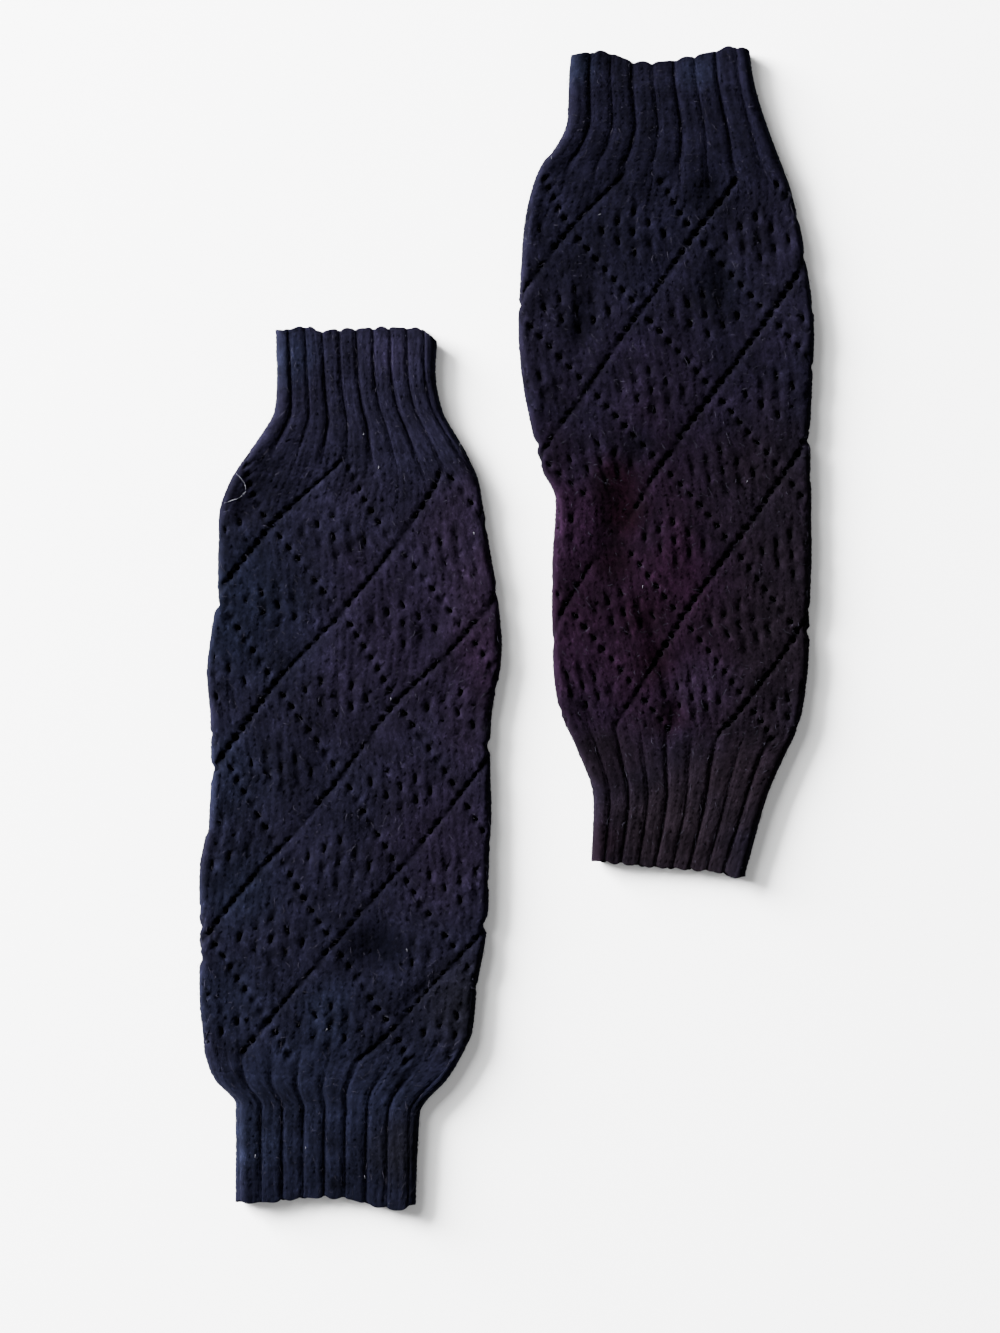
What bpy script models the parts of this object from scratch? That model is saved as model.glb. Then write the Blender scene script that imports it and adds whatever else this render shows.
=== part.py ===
"""A pair of knitted lace arm warmers, laid flat side by side.

Each warmer is one open tube of knitting: a ribbed cuff at the top, a body with a lattice of
diamonds, and a ribbed cuff at the bottom. The tube lies pressed flat, so every round of
stitches is a long flat ring with a rounded fold at its left and right end. The rings are read
from three short tables, in millimetres: the two folds of the outline, the lie of the rounds,
and the waves of the free rims.

Run with: blender --background --python part.py
"""

import math
from collections import namedtuple

import bmesh
import bpy

MM = 0.001

# the knitting
STITCHES = 80                   # stitches in a round, the same in cuffs and body
RIB_STITCHES = 4                # two knit and two purl stitches make one rib
DIAMOND_STITCHES = 16           # one diamond of the lattice is this wide
CUFF_ROWS = 24
COLUMN_STITCHES = 2             # stitches between two columns of a body's mesh
RING_ROWS = 4                   # rows between two rings of a body's mesh

# the cloth, in millimetres
BODY_WALL = 2.2
CUFF_WALL = 1.8
RIB_HEIGHT = 1.5                # how far a rib's crown stands above its valley
FOLD_GAP = 1.5                  # inner gap next to a side fold, where the cloth bends round
MIDDLE_GAP = 0.7                # inner gap in the middle, where the two faces lie together
SEAM = 0.3                      # gap between a cuff and the body
RISING_GROOVE = 0.9             # depth of the lattice lines that rise to the right
FALLING_GROOVE = 0.4            # depth of the lattice lines that fall to the right
DIAMOND_PUFF = 0.3              # how far the middle of a diamond swells
RIM_FADE = 22.0                 # length over which the waves of a rim fade into the cuff
CUFF_RINGS = 5                  # spans between the rings of a cuff
INNER_STEP = 3                  # a body's plain inside has one ring for this many outer ones

# where a rib's four mesh columns sit, as a share of the way from valley to valley, and
# their height as a share of the crown's
RibColumn = namedtuple("RibColumn", "place height")
RIB_COLUMNS = (
    RibColumn(0.00, 0.0),
    RibColumn(0.20, 0.8),
    RibColumn(0.50, 1.0),
    RibColumn(0.80, 0.8),
)

# the outline: at each height y, the left and right fold of the flat tube
Fold = namedtuple("Fold", "y left right")

# the lie of the rounds: row counts down from the top of the body, y is the middle of the
# round, fall is how much lower its right end lies, first is the stitch at the left fold,
# and front is how many stitches show on the upper face
Round = namedtuple("Round", "row y fall first front")

# the free rims: across is -1 at the left fold and 1 at the right, drop is how far the rim
# lies inside its straight line
Wave = namedtuple("Wave", "across drop")

# a kind of cloth: the wall's plain thickness, and how far its crowns stand above that
Cloth = namedtuple("Cloth", "wall crown")
BODY_CLOTH = Cloth(BODY_WALL, 0.0)
CUFF_CLOTH = Cloth(CUFF_WALL, RIB_HEIGHT)

# one ring of a wall's mesh: its row, and how far inside the outer face it lies
Station = namedtuple("Station", "row inset")

# one cuff: a stitch that lies in a valley between two ribs, and the waves of its free rim
Cuff = namedtuple("Cuff", "valley rim")

Warmer = namedtuple("Warmer", "name body_rows crossing_row folds rounds top bottom")

LEFT = Warmer(
    name="left",
    body_rows=124,
    crossing_row=18,
    folds=(
        Fold(118.0, -92.0, -27.6),
        Fold(98.8, -91.6, -28.0),
        Fold(86.0, -92.8, -25.4),
        Fold(78.8, -96.8, -21.6),
        Fold(68.8, -103.6, -15.6),
        Fold(58.4, -110.0, -11.2),
        Fold(46.4, -114.0, -8.8),
        Fold(30.0, -114.8, -6.4),
        Fold(14.8, -115.2, -3.6),
        Fold(-7.2, -118.4, -2.0),
        Fold(-18.0, -119.4, -2.6),
        Fold(-36.4, -118.0, -6.0),
        Fold(-76.8, -118.4, -6.0),
        Fold(-92.8, -122.0, -6.8),
        Fold(-116.8, -122.4, -7.4),
        Fold(-143.2, -122.4, -11.4),
        Fold(-162.4, -120.8, -13.8),
        Fold(-170.8, -120.0, -17.6),
        Fold(-180.8, -116.2, -23.6),
        Fold(-188.8, -108.4, -31.2),
        Fold(-193.6, -108.0, -34.2),
        Fold(-231.4, -108.0, -36.2),
    ),
    rounds=(
        Round(-24, 118.4, 0.0, -7.0, 38.0),
        Round(0, 71.0, 8.5, -7.8, 37.4),
        Round(18, 35.2, 16.2, -7.4, 36.2),
        Round(50, -27.2, 17.0, -9.6, 38.3),
        Round(82, -93.6, 17.6, -10.3, 38.5),
        Round(98, -127.0, 10.5, -9.8, 37.0),
        Round(124, -179.6, 5.0, -9.0, 35.0),
        Round(148, -229.4, 1.5, -9.0, 34.5),
    ),
    top=Cuff(
        valley=0,
        rim=(
            Wave(-1.0, 0.6),
            Wave(-0.6, -1.2),
            Wave(-0.45, 0.8),
            Wave(-0.35, 0.0),
            Wave(0.8, -0.2),
            Wave(1.0, 6.0),
        ),
    ),
    bottom=Cuff(
        valley=0,
        rim=(
            Wave(-1.0, -0.5),
            Wave(-0.7, -0.8),
            Wave(-0.3, 1.2),
            Wave(0.2, 1.6),
            Wave(0.6, -1.4),
            Wave(0.85, -2.4),
            Wave(1.0, 1.0),
        ),
    ),
)

RIGHT = Warmer(
    name="right",
    body_rows=122,
    crossing_row=14,
    folds=(
        Fold(230.4, 26.0, 97.2),
        Fold(219.6, 24.8, 98.6),
        Fold(208.0, 24.4, 101.6),
        Fold(199.6, 23.6, 104.4),
        Fold(190.0, 18.4, 108.0),
        Fold(185.6, 14.4, 109.6),
        Fold(176.0, 10.6, 113.2),
        Fold(160.4, 7.6, 117.2),
        Fold(139.6, 5.8, 120.8),
        Fold(120.8, 5.0, 122.8),
        Fold(101.6, 6.3, 122.4),
        Fold(84.4, 9.2, 121.6),
        Fold(62.8, 14.4, 121.6),
        Fold(51.6, 20.0, 122.0),
        Fold(24.8, 18.4, 121.6),
        Fold(1.2, 18.4, 121.2),
        Fold(-14.4, 18.8, 120.6),
        Fold(-30.0, 20.6, 118.6),
        Fold(-38.8, 23.6, 116.8),
        Fold(-52.0, 29.2, 111.2),
        Fold(-62.4, 33.6, 106.6),
        Fold(-72.0, 34.8, 103.2),
        Fold(-98.0, 33.8, 95.6),
    ),
    rounds=(
        Round(-24, 229.4, -2.0, -6.9, 34.5),
        Round(0, 185.4, 1.8, -7.2, 35.6),
        Round(14, 157.2, 5.0, -6.7, 37.0),
        Round(46, 94.4, 4.4, -8.9, 37.7),
        Round(78, 34.2, 12.0, -8.9, 36.0),
        Round(110, -27.3, 10.3, -12.8, 37.4),
        Round(122, -48.2, 8.0, -13.0, 36.0),
        Round(146, -96.6, 5.5, -12.1, 36.0),
    ),
    top=Cuff(
        valley=1,
        rim=(
            Wave(-1.0, 0.4),
            Wave(-0.6, -0.4),
            Wave(-0.3, 3.6),
            Wave(0.0, 4.0),
            Wave(0.4, 2.0),
            Wave(0.8, -1.0),
            Wave(1.0, 0.8),
        ),
    ),
    bottom=Cuff(
        valley=3,
        rim=(
            Wave(-1.0, 0.8),
            Wave(-0.4, 0.4),
            Wave(0.2, 0.6),
            Wave(0.7, 0.4),
            Wave(0.9, -1.0),
            Wave(1.0, 0.6),
        ),
    ),
)

WARMERS = (LEFT, RIGHT)


def read_table(table, place):
    """The table's other columns at a place in its first column, on one smooth line.

    Between two rows the values follow a cubic whose slopes are those of the neighbouring rows.
    A place before the first row or past the last one takes that row's values.
    """
    keys = [row[0] for row in table]
    place = min(max(place, min(keys)), max(keys))
    down = -1.0 if keys[-1] < keys[0] else 1.0
    index = 0
    while index < len(keys) - 2 and down * place > down * keys[index + 1]:
        index += 1
    share = (place - keys[index]) / (keys[index + 1] - keys[index])
    span = keys[index + 1] - keys[index]
    before, after = max(index - 1, 0), min(index + 2, len(keys) - 1)
    values = []
    for column in range(1, len(table[0])):
        start, end = table[index][column], table[index + 1][column]
        slope_in = (end - table[before][column]) / (keys[index + 1] - keys[before]) * span
        slope_out = (table[after][column] - start) / (keys[after] - keys[index]) * span
        cubic = (2 * start - 2 * end + slope_in + slope_out) * share ** 3
        cubic += (-3 * start + 3 * end - 2 * slope_in - slope_out) * share ** 2
        values.append(cubic + slope_in * share + start)
    return values


def smooth_step(low, high, value):
    """0 below low, 1 above high, and a soft rise between them."""
    share = min(max((value - low) / (high - low), 0.0), 1.0)
    return share * share * (3.0 - 2.0 * share)


def round_line(warmer, row):
    """Both ends of a round, where it turns under, and its stitch values."""
    middle, fall, first, front = read_table(warmer.rounds, row)
    left_y, right_y = middle + fall / 2.0, middle - fall / 2.0
    left_x = read_table(warmer.folds, left_y)[0]
    right_x = read_table(warmer.folds, right_y)[1]
    return (left_x, left_y), (right_x, right_y), first, front


def travel_of_stitch(stitch, first, front, reach=0.0):
    """How far round the ring a stitch lies: 0 at the left fold, 0.5 at the right, over the top.

    A stitch within reach of a fold is put right on it, so that the outline keeps its width.
    """
    count = (stitch - first) % STITCHES
    if min(count, STITCHES - count) < reach:
        return 0.0
    if abs(count - front) < reach:
        return 0.5
    if count <= front:
        return 0.5 * count / front
    return 0.5 + 0.5 * (count - front) / (STITCHES - front)


def flat_ring(half_width, height, travel):
    """A point of a flat ring with round ends, and the way it faces: across, up, normal."""
    radius = height / 2.0
    straight = 2.0 * (half_width - radius)
    quarter = math.pi * radius / 2.0
    way = (travel % 1.0) * 2.0 * (straight + 2.0 * quarter)
    under = way > straight + 2.0 * quarter
    if under:
        way -= straight + 2.0 * quarter
    if way < quarter:
        turn = way / radius
        across, up = -straight / 2.0 - radius * math.cos(turn), radius * math.sin(turn)
        facing = (-math.cos(turn), math.sin(turn))
    elif way < quarter + straight:
        across, up, facing = way - quarter - straight / 2.0, radius, (0.0, 1.0)
    else:
        turn = (way - quarter - straight) / radius
        across, up = straight / 2.0 + radius * math.sin(turn), radius * math.cos(turn)
        facing = (math.sin(turn), math.cos(turn))
    if under:
        return -across, radius - up, (-facing[0], -facing[1])
    return across, radius + up, facing


def ring_point(warmer, station, travel, cloth, relief, rim_drop):
    """One point of a round, in millimetres, on the outer face or on the inner one.

    The outline's folds lie on the crowns, so the plain wall starts a crown's height inside.
    """
    (left_x, left_y), (right_x, right_y), _first, _front = round_line(warmer, station.row)
    half = (right_x - left_x) / 2.0
    inset = station.inset
    height = 2.0 * (cloth.wall - inset) + FOLD_GAP
    across, up, facing = flat_ring(half - cloth.crown - inset, height, travel)
    settle = (FOLD_GAP - MIDDLE_GAP) * smooth_step(0.0, 1.0, facing[1])
    settle *= 1.0 - min(abs(across / half), 1.0) ** 4
    upper = smooth_step(-0.7, -0.1, facing[1])
    across += relief * upper * facing[0]
    up += inset + relief * upper * facing[1] - settle
    x = (left_x + right_x) / 2.0 + across
    y = (left_y + right_y) / 2.0 + across / half * (right_y - left_y) / 2.0
    return x, y + rim_drop, max(up, 0.0)


def lattice_relief(warmer, stitch, row):
    """Grooves along the diamond lattice, and the swelling inside each diamond."""
    rising = (stitch + (row - warmer.crossing_row) / 2.0) % DIAMOND_STITCHES
    falling = (stitch - (row - warmer.crossing_row) / 2.0) % DIAMOND_STITCHES
    from_rising = min(rising, DIAMOND_STITCHES - rising)
    from_falling = min(falling, DIAMOND_STITCHES - falling)
    depth = RISING_GROOVE * (1.0 - smooth_step(0.0, COLUMN_STITCHES, from_rising))
    depth += FALLING_GROOVE * (1.0 - smooth_step(0.0, COLUMN_STITCHES, from_falling))
    puff = DIAMOND_PUFF * smooth_step(0.0, DIAMOND_STITCHES / 2.0, min(from_rising, from_falling))
    near_cuff = smooth_step(0.0, 2.0 * RING_ROWS, row)
    near_cuff *= smooth_step(0.0, 2.0 * RING_ROWS, warmer.body_rows - row)
    return (puff - depth) * near_cuff


def rim_wave(rim, across, away):
    """How far a rim's wave moves a point: most at the rim, nothing past RIM_FADE."""
    drop = read_table(rim, across)[0]
    return drop * (1.0 - smooth_step(0.0, RIM_FADE, away))


def closed_wall(columns, stations, place, mark=None):
    """A tube's wall as one grid, wrapped round the tube and also over both rims.

    The stations run down the outer face and back up the inner one, so the last of them joins
    the first. place gives a crossing's point in millimetres, and mark may give it a whole
    number, which the mesh keeps in its lattice layer.
    """
    mesh = bmesh.new()
    bmesh.ops.create_grid(mesh, x_segments=columns, y_segments=len(stations), size=1.0)
    lattice = mesh.verts.layers.int.new("lattice")
    seams = []
    for vertex in mesh.verts:
        column = round((vertex.co.x + 1.0) / 2.0 * columns)
        turn = round((1.0 - vertex.co.y) / 2.0 * len(stations))
        if column in (0, columns) or turn in (0, len(stations)):
            seams.append(vertex)
        station = stations[turn % len(stations)]
        vertex.co = [value * MM for value in place(column % columns, station)]
        if mark:
            vertex[lattice] = mark(column % columns, station)
    bmesh.ops.remove_doubles(mesh, verts=seams, dist=0.001 * MM)
    bmesh.ops.recalc_face_normals(mesh, faces=mesh.faces[:])
    return mesh


def seam_rows(warmer, row):
    """Half the seam gap at a row, counted in rows."""
    above, below = read_table(warmer.rounds, row - 2)[0], read_table(warmer.rounds, row + 2)[0]
    return SEAM / 2.0 / ((above - below) / 4.0)


def crease_lattice(mesh):
    """Lay mesh edges along the lattice lines, so that each groove has a clean bottom."""
    lattice = mesh.verts.layers.int["lattice"]
    for line in (1, 2):
        points = [vertex for vertex in mesh.verts if vertex[lattice] & line]
        bmesh.ops.connect_verts(mesh, verts=points)


def build_body(warmer):
    """The lace body: grooves follow the lattice on the outer face over a plain inside."""
    offset = warmer.crossing_row % RING_ROWS
    rows = [seam_rows(warmer, 0)]
    rows += list(range(offset, warmer.body_rows - 1, RING_ROWS))
    rows.append(warmer.body_rows - seam_rows(warmer, warmer.body_rows))
    inner_rows = rows[:-1:INNER_STEP] + rows[-1:]
    stations = [Station(row, 0.0) for row in rows]
    stations += [Station(row, BODY_WALL) for row in reversed(inner_rows)]

    def place(column, station):
        _left, _right, first, front = round_line(warmer, station.row)
        stitch = column * COLUMN_STITCHES
        travel = travel_of_stitch(stitch, first, front, COLUMN_STITCHES / 2.0)
        relief = 0.0 if station.inset else lattice_relief(warmer, stitch, station.row)
        return ring_point(warmer, station, travel, BODY_CLOTH, relief, 0.0)

    def mark(column, station):
        """1 on a rising line of the outer face, 2 on a falling one, and 3 where they cross."""
        from_crossing = (station.row - warmer.crossing_row) / 2.0
        stitch = column * COLUMN_STITCHES
        rising = (stitch + from_crossing) % DIAMOND_STITCHES == 0.0
        falling = (stitch - from_crossing) % DIAMOND_STITCHES == 0.0
        return 0 if station.inset else int(rising) + 2 * int(falling)

    wall = closed_wall(STITCHES // COLUMN_STITCHES, stations, place, mark)
    crease_lattice(wall)
    return wall


def build_cuff(warmer, top):
    """A ribbed cuff: every rib is a crown of the outer face, and the inside stays plain."""
    if top:
        rim_row, seam_row = -CUFF_ROWS, -seam_rows(warmer, 0)
    else:
        rim_row = warmer.body_rows + CUFF_ROWS
        seam_row = warmer.body_rows + seam_rows(warmer, warmer.body_rows)
    cuff = warmer.top if top else warmer.bottom
    inward = -1.0 if top else 1.0
    rim_y = read_table(warmer.rounds, rim_row)[0]
    rows = [rim_row + (seam_row - rim_row) * ring / CUFF_RINGS for ring in range(CUFF_RINGS + 1)]
    stations = [Station(row, 0.0) for row in rows]
    stations += [Station(row, CUFF_WALL) for row in reversed(rows)]

    def place(column, station):
        (left_x, _left_y), (right_x, _right_y), first, front = round_line(warmer, station.row)
        rib, part = divmod(column, len(RIB_COLUMNS))
        stitch = (rib + RIB_COLUMNS[part].place) * RIB_STITCHES + cuff.valley
        travel = travel_of_stitch(stitch, first, front)
        relief = 0.0 if station.inset else RIB_COLUMNS[part].height * RIB_HEIGHT
        half = (right_x - left_x) / 2.0
        across = flat_ring(half, 2.0 * CUFF_WALL + FOLD_GAP, travel)[0] / half
        away = abs(read_table(warmer.rounds, station.row)[0] - rim_y)
        drop = inward * rim_wave(cuff.rim, across, away)
        return ring_point(warmer, station, travel, CUFF_CLOTH, relief, drop)

    return closed_wall(STITCHES // RIB_STITCHES * len(RIB_COLUMNS), stations, place)


def knit_material(name, colour):
    """Matt dark wool with a soft sheen of loose fibres."""
    material = bpy.data.materials.new(name)
    material.use_nodes = True
    shader = material.node_tree.nodes["Principled BSDF"]
    shader.inputs["Base Color"].default_value = (*colour, 1.0)
    shader.inputs["Roughness"].default_value = 0.9
    shader.inputs["Metallic"].default_value = 0.0
    shader.inputs["Sheen Weight"].default_value = 0.3
    return material


def add_node(collection, name, mesh, material):
    """Make one named object from a bmesh, smooth with its material."""
    data = bpy.data.meshes.new(name)
    mesh.to_mesh(data)
    mesh.free()
    data.materials.append(material)
    data.shade_smooth()
    data.set_sharp_from_angle(angle=math.radians(50.0))
    node = bpy.data.objects.new(name, data)
    collection.objects.link(node)
    return node


def main():
    for old in list(bpy.data.objects):
        bpy.data.objects.remove(old, do_unlink=True)
    collection = bpy.data.collections.new("arm_warmers")
    bpy.context.scene.collection.children.link(collection)
    for warmer in WARMERS:
        pieces = (
            ("top_cuff", build_cuff(warmer, top=True), (0.010, 0.011, 0.022)),
            ("body", build_body(warmer), (0.012, 0.012, 0.024)),
            ("bottom_cuff", build_cuff(warmer, top=False), (0.010, 0.011, 0.020)),
        )
        for piece, mesh, colour in pieces:
            name = f"{warmer.name}_{piece}"
            add_node(collection, name, mesh, knit_material(f"{name}_wool", colour))


main()
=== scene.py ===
# %% [markdown]
# # A pair of knitted lace arm warmers
# Two tubes of fine dark wool lie flat on a pale table. Each has a ribbed cuff at both ends and
# a lace body, where lines of small eyelets cross to make diamonds. The construction is loaded
# as a fixed frame, and this lesson knits the visible cloth over it, stitch by stitch.

# %% Load the frame
import math
from collections import namedtuple

import bmesh
import bpy
import numpy as np
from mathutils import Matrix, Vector


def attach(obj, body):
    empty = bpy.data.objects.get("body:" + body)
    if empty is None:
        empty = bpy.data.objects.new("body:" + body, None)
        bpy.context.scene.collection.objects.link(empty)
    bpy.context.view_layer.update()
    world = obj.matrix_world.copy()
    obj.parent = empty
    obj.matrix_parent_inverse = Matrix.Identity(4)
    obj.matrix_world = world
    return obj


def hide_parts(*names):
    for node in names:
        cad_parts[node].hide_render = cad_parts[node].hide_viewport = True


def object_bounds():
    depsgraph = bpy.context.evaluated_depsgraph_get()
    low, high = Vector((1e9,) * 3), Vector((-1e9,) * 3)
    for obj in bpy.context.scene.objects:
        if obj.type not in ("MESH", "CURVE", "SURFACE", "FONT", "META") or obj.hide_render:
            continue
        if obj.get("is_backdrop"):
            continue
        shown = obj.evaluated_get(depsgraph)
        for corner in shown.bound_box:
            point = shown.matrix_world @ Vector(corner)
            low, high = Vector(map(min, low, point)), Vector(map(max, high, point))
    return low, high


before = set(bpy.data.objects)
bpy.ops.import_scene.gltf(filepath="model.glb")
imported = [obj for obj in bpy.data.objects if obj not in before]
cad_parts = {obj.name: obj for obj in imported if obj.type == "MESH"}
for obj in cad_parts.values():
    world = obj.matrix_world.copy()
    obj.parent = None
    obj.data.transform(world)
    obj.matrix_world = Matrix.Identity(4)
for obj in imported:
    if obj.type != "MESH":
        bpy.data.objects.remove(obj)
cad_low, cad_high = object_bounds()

MM = 0.001
print("nodes:", sorted(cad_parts))

# %% [markdown]
# ## The sizes of the knitting
# Hand knitting is measured in stitches and rows, so the lesson keeps to them: every point of
# the cloth has a stitch number around the tube and a row number down it. The gauge says how
# large a stitch is, and the walls of the plain solids underneath say how thick the tube lies.

# %% Gauge
STITCHES = 80                   # stitches in a round
RIB = 4                         # two knit and two purl stitches make a rib
DIAMOND = 16                    # a diamond is this many stitches wide
CUFF_ROWS = 24
BODY_WALL, CUFF_WALL = 2.2, 1.8         # thickness of one layer of the solids, in millimetres
RIB_HEIGHT = 1.5                        # how far the crown of a rib stands out
FOLD_GAP, MIDDLE_GAP = 1.5, 0.7         # between the two layers of a tube
STITCH_WIDTH, ROW_HEIGHT = 3.0, 1.97    # of the cloth spread flat
print("a body spread flat is", STITCHES * STITCH_WIDTH, "mm wide")

# %% [markdown]
# ## How each warmer lies
# No two warmers laid down by hand lie alike, so each has its own short tables, in millimetres
# on the table top. A fold says where the tube bends over at its left and at its right, for a
# height y. A round says where the middle of a row lies, how far the row falls from left to
# right, which stitch lies on the left fold and how many face up. A wave says how far the rim
# of a cuff stands back, from -1 at its left end to 1 at its right. The same tables shape the
# plain solids underneath, which keeps cloth and solids together.

# %% The left warmer
Fold = namedtuple("Fold", "y left right")
Round = namedtuple("Round", "row y fall first front")
Wave = namedtuple("Wave", "across drop")
Cuff = namedtuple("Cuff", "valley rim")
Warmer = namedtuple("Warmer", "name body_rows crossing_row folds rounds top bottom")

LEFT = Warmer(
    name="left", body_rows=124, crossing_row=18,
    folds=(
        Fold(118.0, -92.0, -27.6), Fold(98.8, -91.6, -28.0), Fold(86.0, -92.8, -25.4),
        Fold(78.8, -96.8, -21.6), Fold(68.8, -103.6, -15.6), Fold(58.4, -110.0, -11.2),
        Fold(46.4, -114.0, -8.8), Fold(30.0, -114.8, -6.4), Fold(14.8, -115.2, -3.6),
        Fold(-7.2, -118.4, -2.0), Fold(-18.0, -119.4, -2.6), Fold(-36.4, -118.0, -6.0),
        Fold(-76.8, -118.4, -6.0), Fold(-92.8, -122.0, -6.8), Fold(-116.8, -122.4, -7.4),
        Fold(-143.2, -122.4, -11.4), Fold(-162.4, -120.8, -13.8), Fold(-170.8, -120.0, -17.6),
        Fold(-180.8, -116.2, -23.6), Fold(-188.8, -108.4, -31.2), Fold(-193.6, -108.0, -34.2),
        Fold(-231.4, -108.0, -36.2),
    ),
    rounds=(
        Round(-24, 118.4, 0.0, -7.0, 38.0), Round(0, 71.0, 8.5, -7.8, 37.4),
        Round(18, 35.2, 16.2, -7.4, 36.2), Round(50, -27.2, 17.0, -9.6, 38.3),
        Round(82, -93.6, 17.6, -10.3, 38.5), Round(98, -127.0, 10.5, -9.8, 37.0),
        Round(124, -179.6, 5.0, -9.0, 35.0), Round(148, -229.4, 1.5, -9.0, 34.5),
    ),
    top=Cuff(valley=0, rim=(
        Wave(-1.0, 0.6), Wave(-0.6, -1.2), Wave(-0.45, 0.8), Wave(-0.35, 0.0),
        Wave(0.8, -0.2), Wave(1.0, 6.0),
    )),
    bottom=Cuff(valley=0, rim=(
        Wave(-1.0, -0.5), Wave(-0.7, -0.8), Wave(-0.3, 1.2), Wave(0.2, 1.6),
        Wave(0.6, -1.4), Wave(0.85, -2.4), Wave(1.0, 1.0),
    )),
)
print("left warmer, from rim to rim:", round(LEFT.rounds[0].y - LEFT.rounds[-1].y, 1), "mm")

# %% The right warmer
RIGHT = Warmer(
    name="right", body_rows=122, crossing_row=14,
    folds=(
        Fold(230.4, 26.0, 97.2), Fold(219.6, 24.8, 98.6), Fold(208.0, 24.4, 101.6),
        Fold(199.6, 23.6, 104.4), Fold(190.0, 18.4, 108.0), Fold(185.6, 14.4, 109.6),
        Fold(176.0, 10.6, 113.2), Fold(160.4, 7.6, 117.2), Fold(139.6, 5.8, 120.8),
        Fold(120.8, 5.0, 122.8), Fold(101.6, 6.3, 122.4), Fold(84.4, 9.2, 121.6),
        Fold(62.8, 14.4, 121.6), Fold(51.6, 20.0, 122.0), Fold(24.8, 18.4, 121.6),
        Fold(1.2, 18.4, 121.2), Fold(-14.4, 18.8, 120.6), Fold(-30.0, 20.6, 118.6),
        Fold(-38.8, 23.6, 116.8), Fold(-52.0, 29.2, 111.2), Fold(-62.4, 33.6, 106.6),
        Fold(-72.0, 34.8, 103.2), Fold(-98.0, 33.8, 95.6),
    ),
    rounds=(
        Round(-24, 229.4, -2.0, -6.9, 34.5), Round(0, 185.4, 1.8, -7.2, 35.6),
        Round(14, 157.2, 5.0, -6.7, 37.0), Round(46, 94.4, 4.4, -8.9, 37.7),
        Round(78, 34.2, 12.0, -8.9, 36.0), Round(110, -27.3, 10.3, -12.8, 37.4),
        Round(122, -48.2, 8.0, -13.0, 36.0), Round(146, -96.6, 5.5, -12.1, 36.0),
    ),
    top=Cuff(valley=1, rim=(
        Wave(-1.0, 0.4), Wave(-0.6, -0.4), Wave(-0.3, 3.6), Wave(0.0, 4.0),
        Wave(0.4, 2.0), Wave(0.8, -1.0), Wave(1.0, 0.8),
    )),
    bottom=Cuff(valley=3, rim=(
        Wave(-1.0, 0.8), Wave(-0.4, 0.4), Wave(0.2, 0.6), Wave(0.7, 0.4),
        Wave(0.9, -1.0), Wave(1.0, 0.6),
    )),
)
WARMERS = (LEFT, RIGHT)
rounds_worked = sum(warmer.body_rows + 2 * CUFF_ROWS for warmer in WARMERS)
print("stitches in both warmers:", STITCHES * rounds_worked)

# %% [markdown]
# ## Reading the tables
# A table of a few rows could be read with straight lines between them, but then the outline of
# the cloth would have corners. A cubic between each two rows, with slopes taken from the
# neighbouring rows, gives one smooth line. It is written for whole arrays of points at once,
# because a warmer has some hundred thousand of them.

# %% Table reader
def smooth_step(low, high, value):
    share = np.clip((value - low) / (high - low), 0.0, 1.0)
    return share * share * (3.0 - 2.0 * share)


def read_table(table, column, places):
    rows = sorted(table, key=lambda row: row[0])
    keys = np.array([float(row[0]) for row in rows])
    values = np.array([float(getattr(row, column)) for row in rows])
    places = np.clip(places, keys[0], keys[-1])
    start = np.clip(np.searchsorted(keys, places) - 1, 0, len(keys) - 2)
    end = start + 1
    before, after = np.maximum(start - 1, 0), np.minimum(start + 2, len(keys) - 1)
    span = keys[end] - keys[start]
    share = (places - keys[start]) / span
    slope_in = (values[end] - values[before]) / (keys[end] - keys[before]) * span
    slope_out = (values[after] - values[start]) / (keys[after] - keys[start]) * span
    low, high = values[start], values[end]
    cubic = (2 * low - 2 * high + slope_in + slope_out) * share ** 3
    cubic += (-3 * low + 3 * high - 2 * slope_in - slope_out) * share ** 2
    return cubic + slope_in * share + low


print("left warmer, middle round at y =", round(float(read_table(LEFT.rounds, "y", 62.0)), 1), "mm")

# %% [markdown]
# ## A tube pressed flat
# Its cross-section is like a racetrack: two straight runs and two round ends. A circle that is
# only scaled would come out too sharp at the folds, so the function walks the given share of
# the way round a racetrack instead, and also says which way the cloth faces there.

# %% The flat tube
def racetrack(half_width, height, travel):
    """Across, up, and the direction that the cloth faces, for a share of the way round."""
    radius = height / 2.0
    straight = 2.0 * (half_width - radius)
    quarter = math.pi * radius / 2.0
    way = (travel % 1.0) * 2.0 * (straight + 2.0 * quarter)
    under = way > straight + 2.0 * quarter
    way = np.where(under, way - straight - 2.0 * quarter, way)
    turn_in = np.clip(way / radius, 0.0, math.pi / 2.0)
    turn_out = np.clip((way - quarter - straight) / radius, 0.0, math.pi / 2.0)
    flat = np.clip(way - quarter, 0.0, straight)
    across = flat - straight / 2.0 - radius * np.cos(turn_in) + radius * np.sin(turn_out)
    up = radius * np.sin(turn_in) * np.cos(turn_out)
    face_across = -np.cos(turn_in) + np.sin(turn_out)
    face_up = np.sin(turn_in) * np.cos(turn_out)
    sign = np.where(under, -1.0, 1.0)
    return across * sign, radius + up * sign, face_across * sign, face_up * sign


print("height of a body at its folds:", round(2.0 * BODY_WALL + FOLD_GAP, 1), "mm")

# %% [markdown]
# ## Ribs and notches
# The ribs of a cuff do not stop in one line: they run out into the plain knitting a little
# unevenly. Two sines over the stitch number give that ragged border. Where a line of eyelets
# goes over a fold it draws the cloth together, so the outline steps in by about a millimetre.

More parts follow.
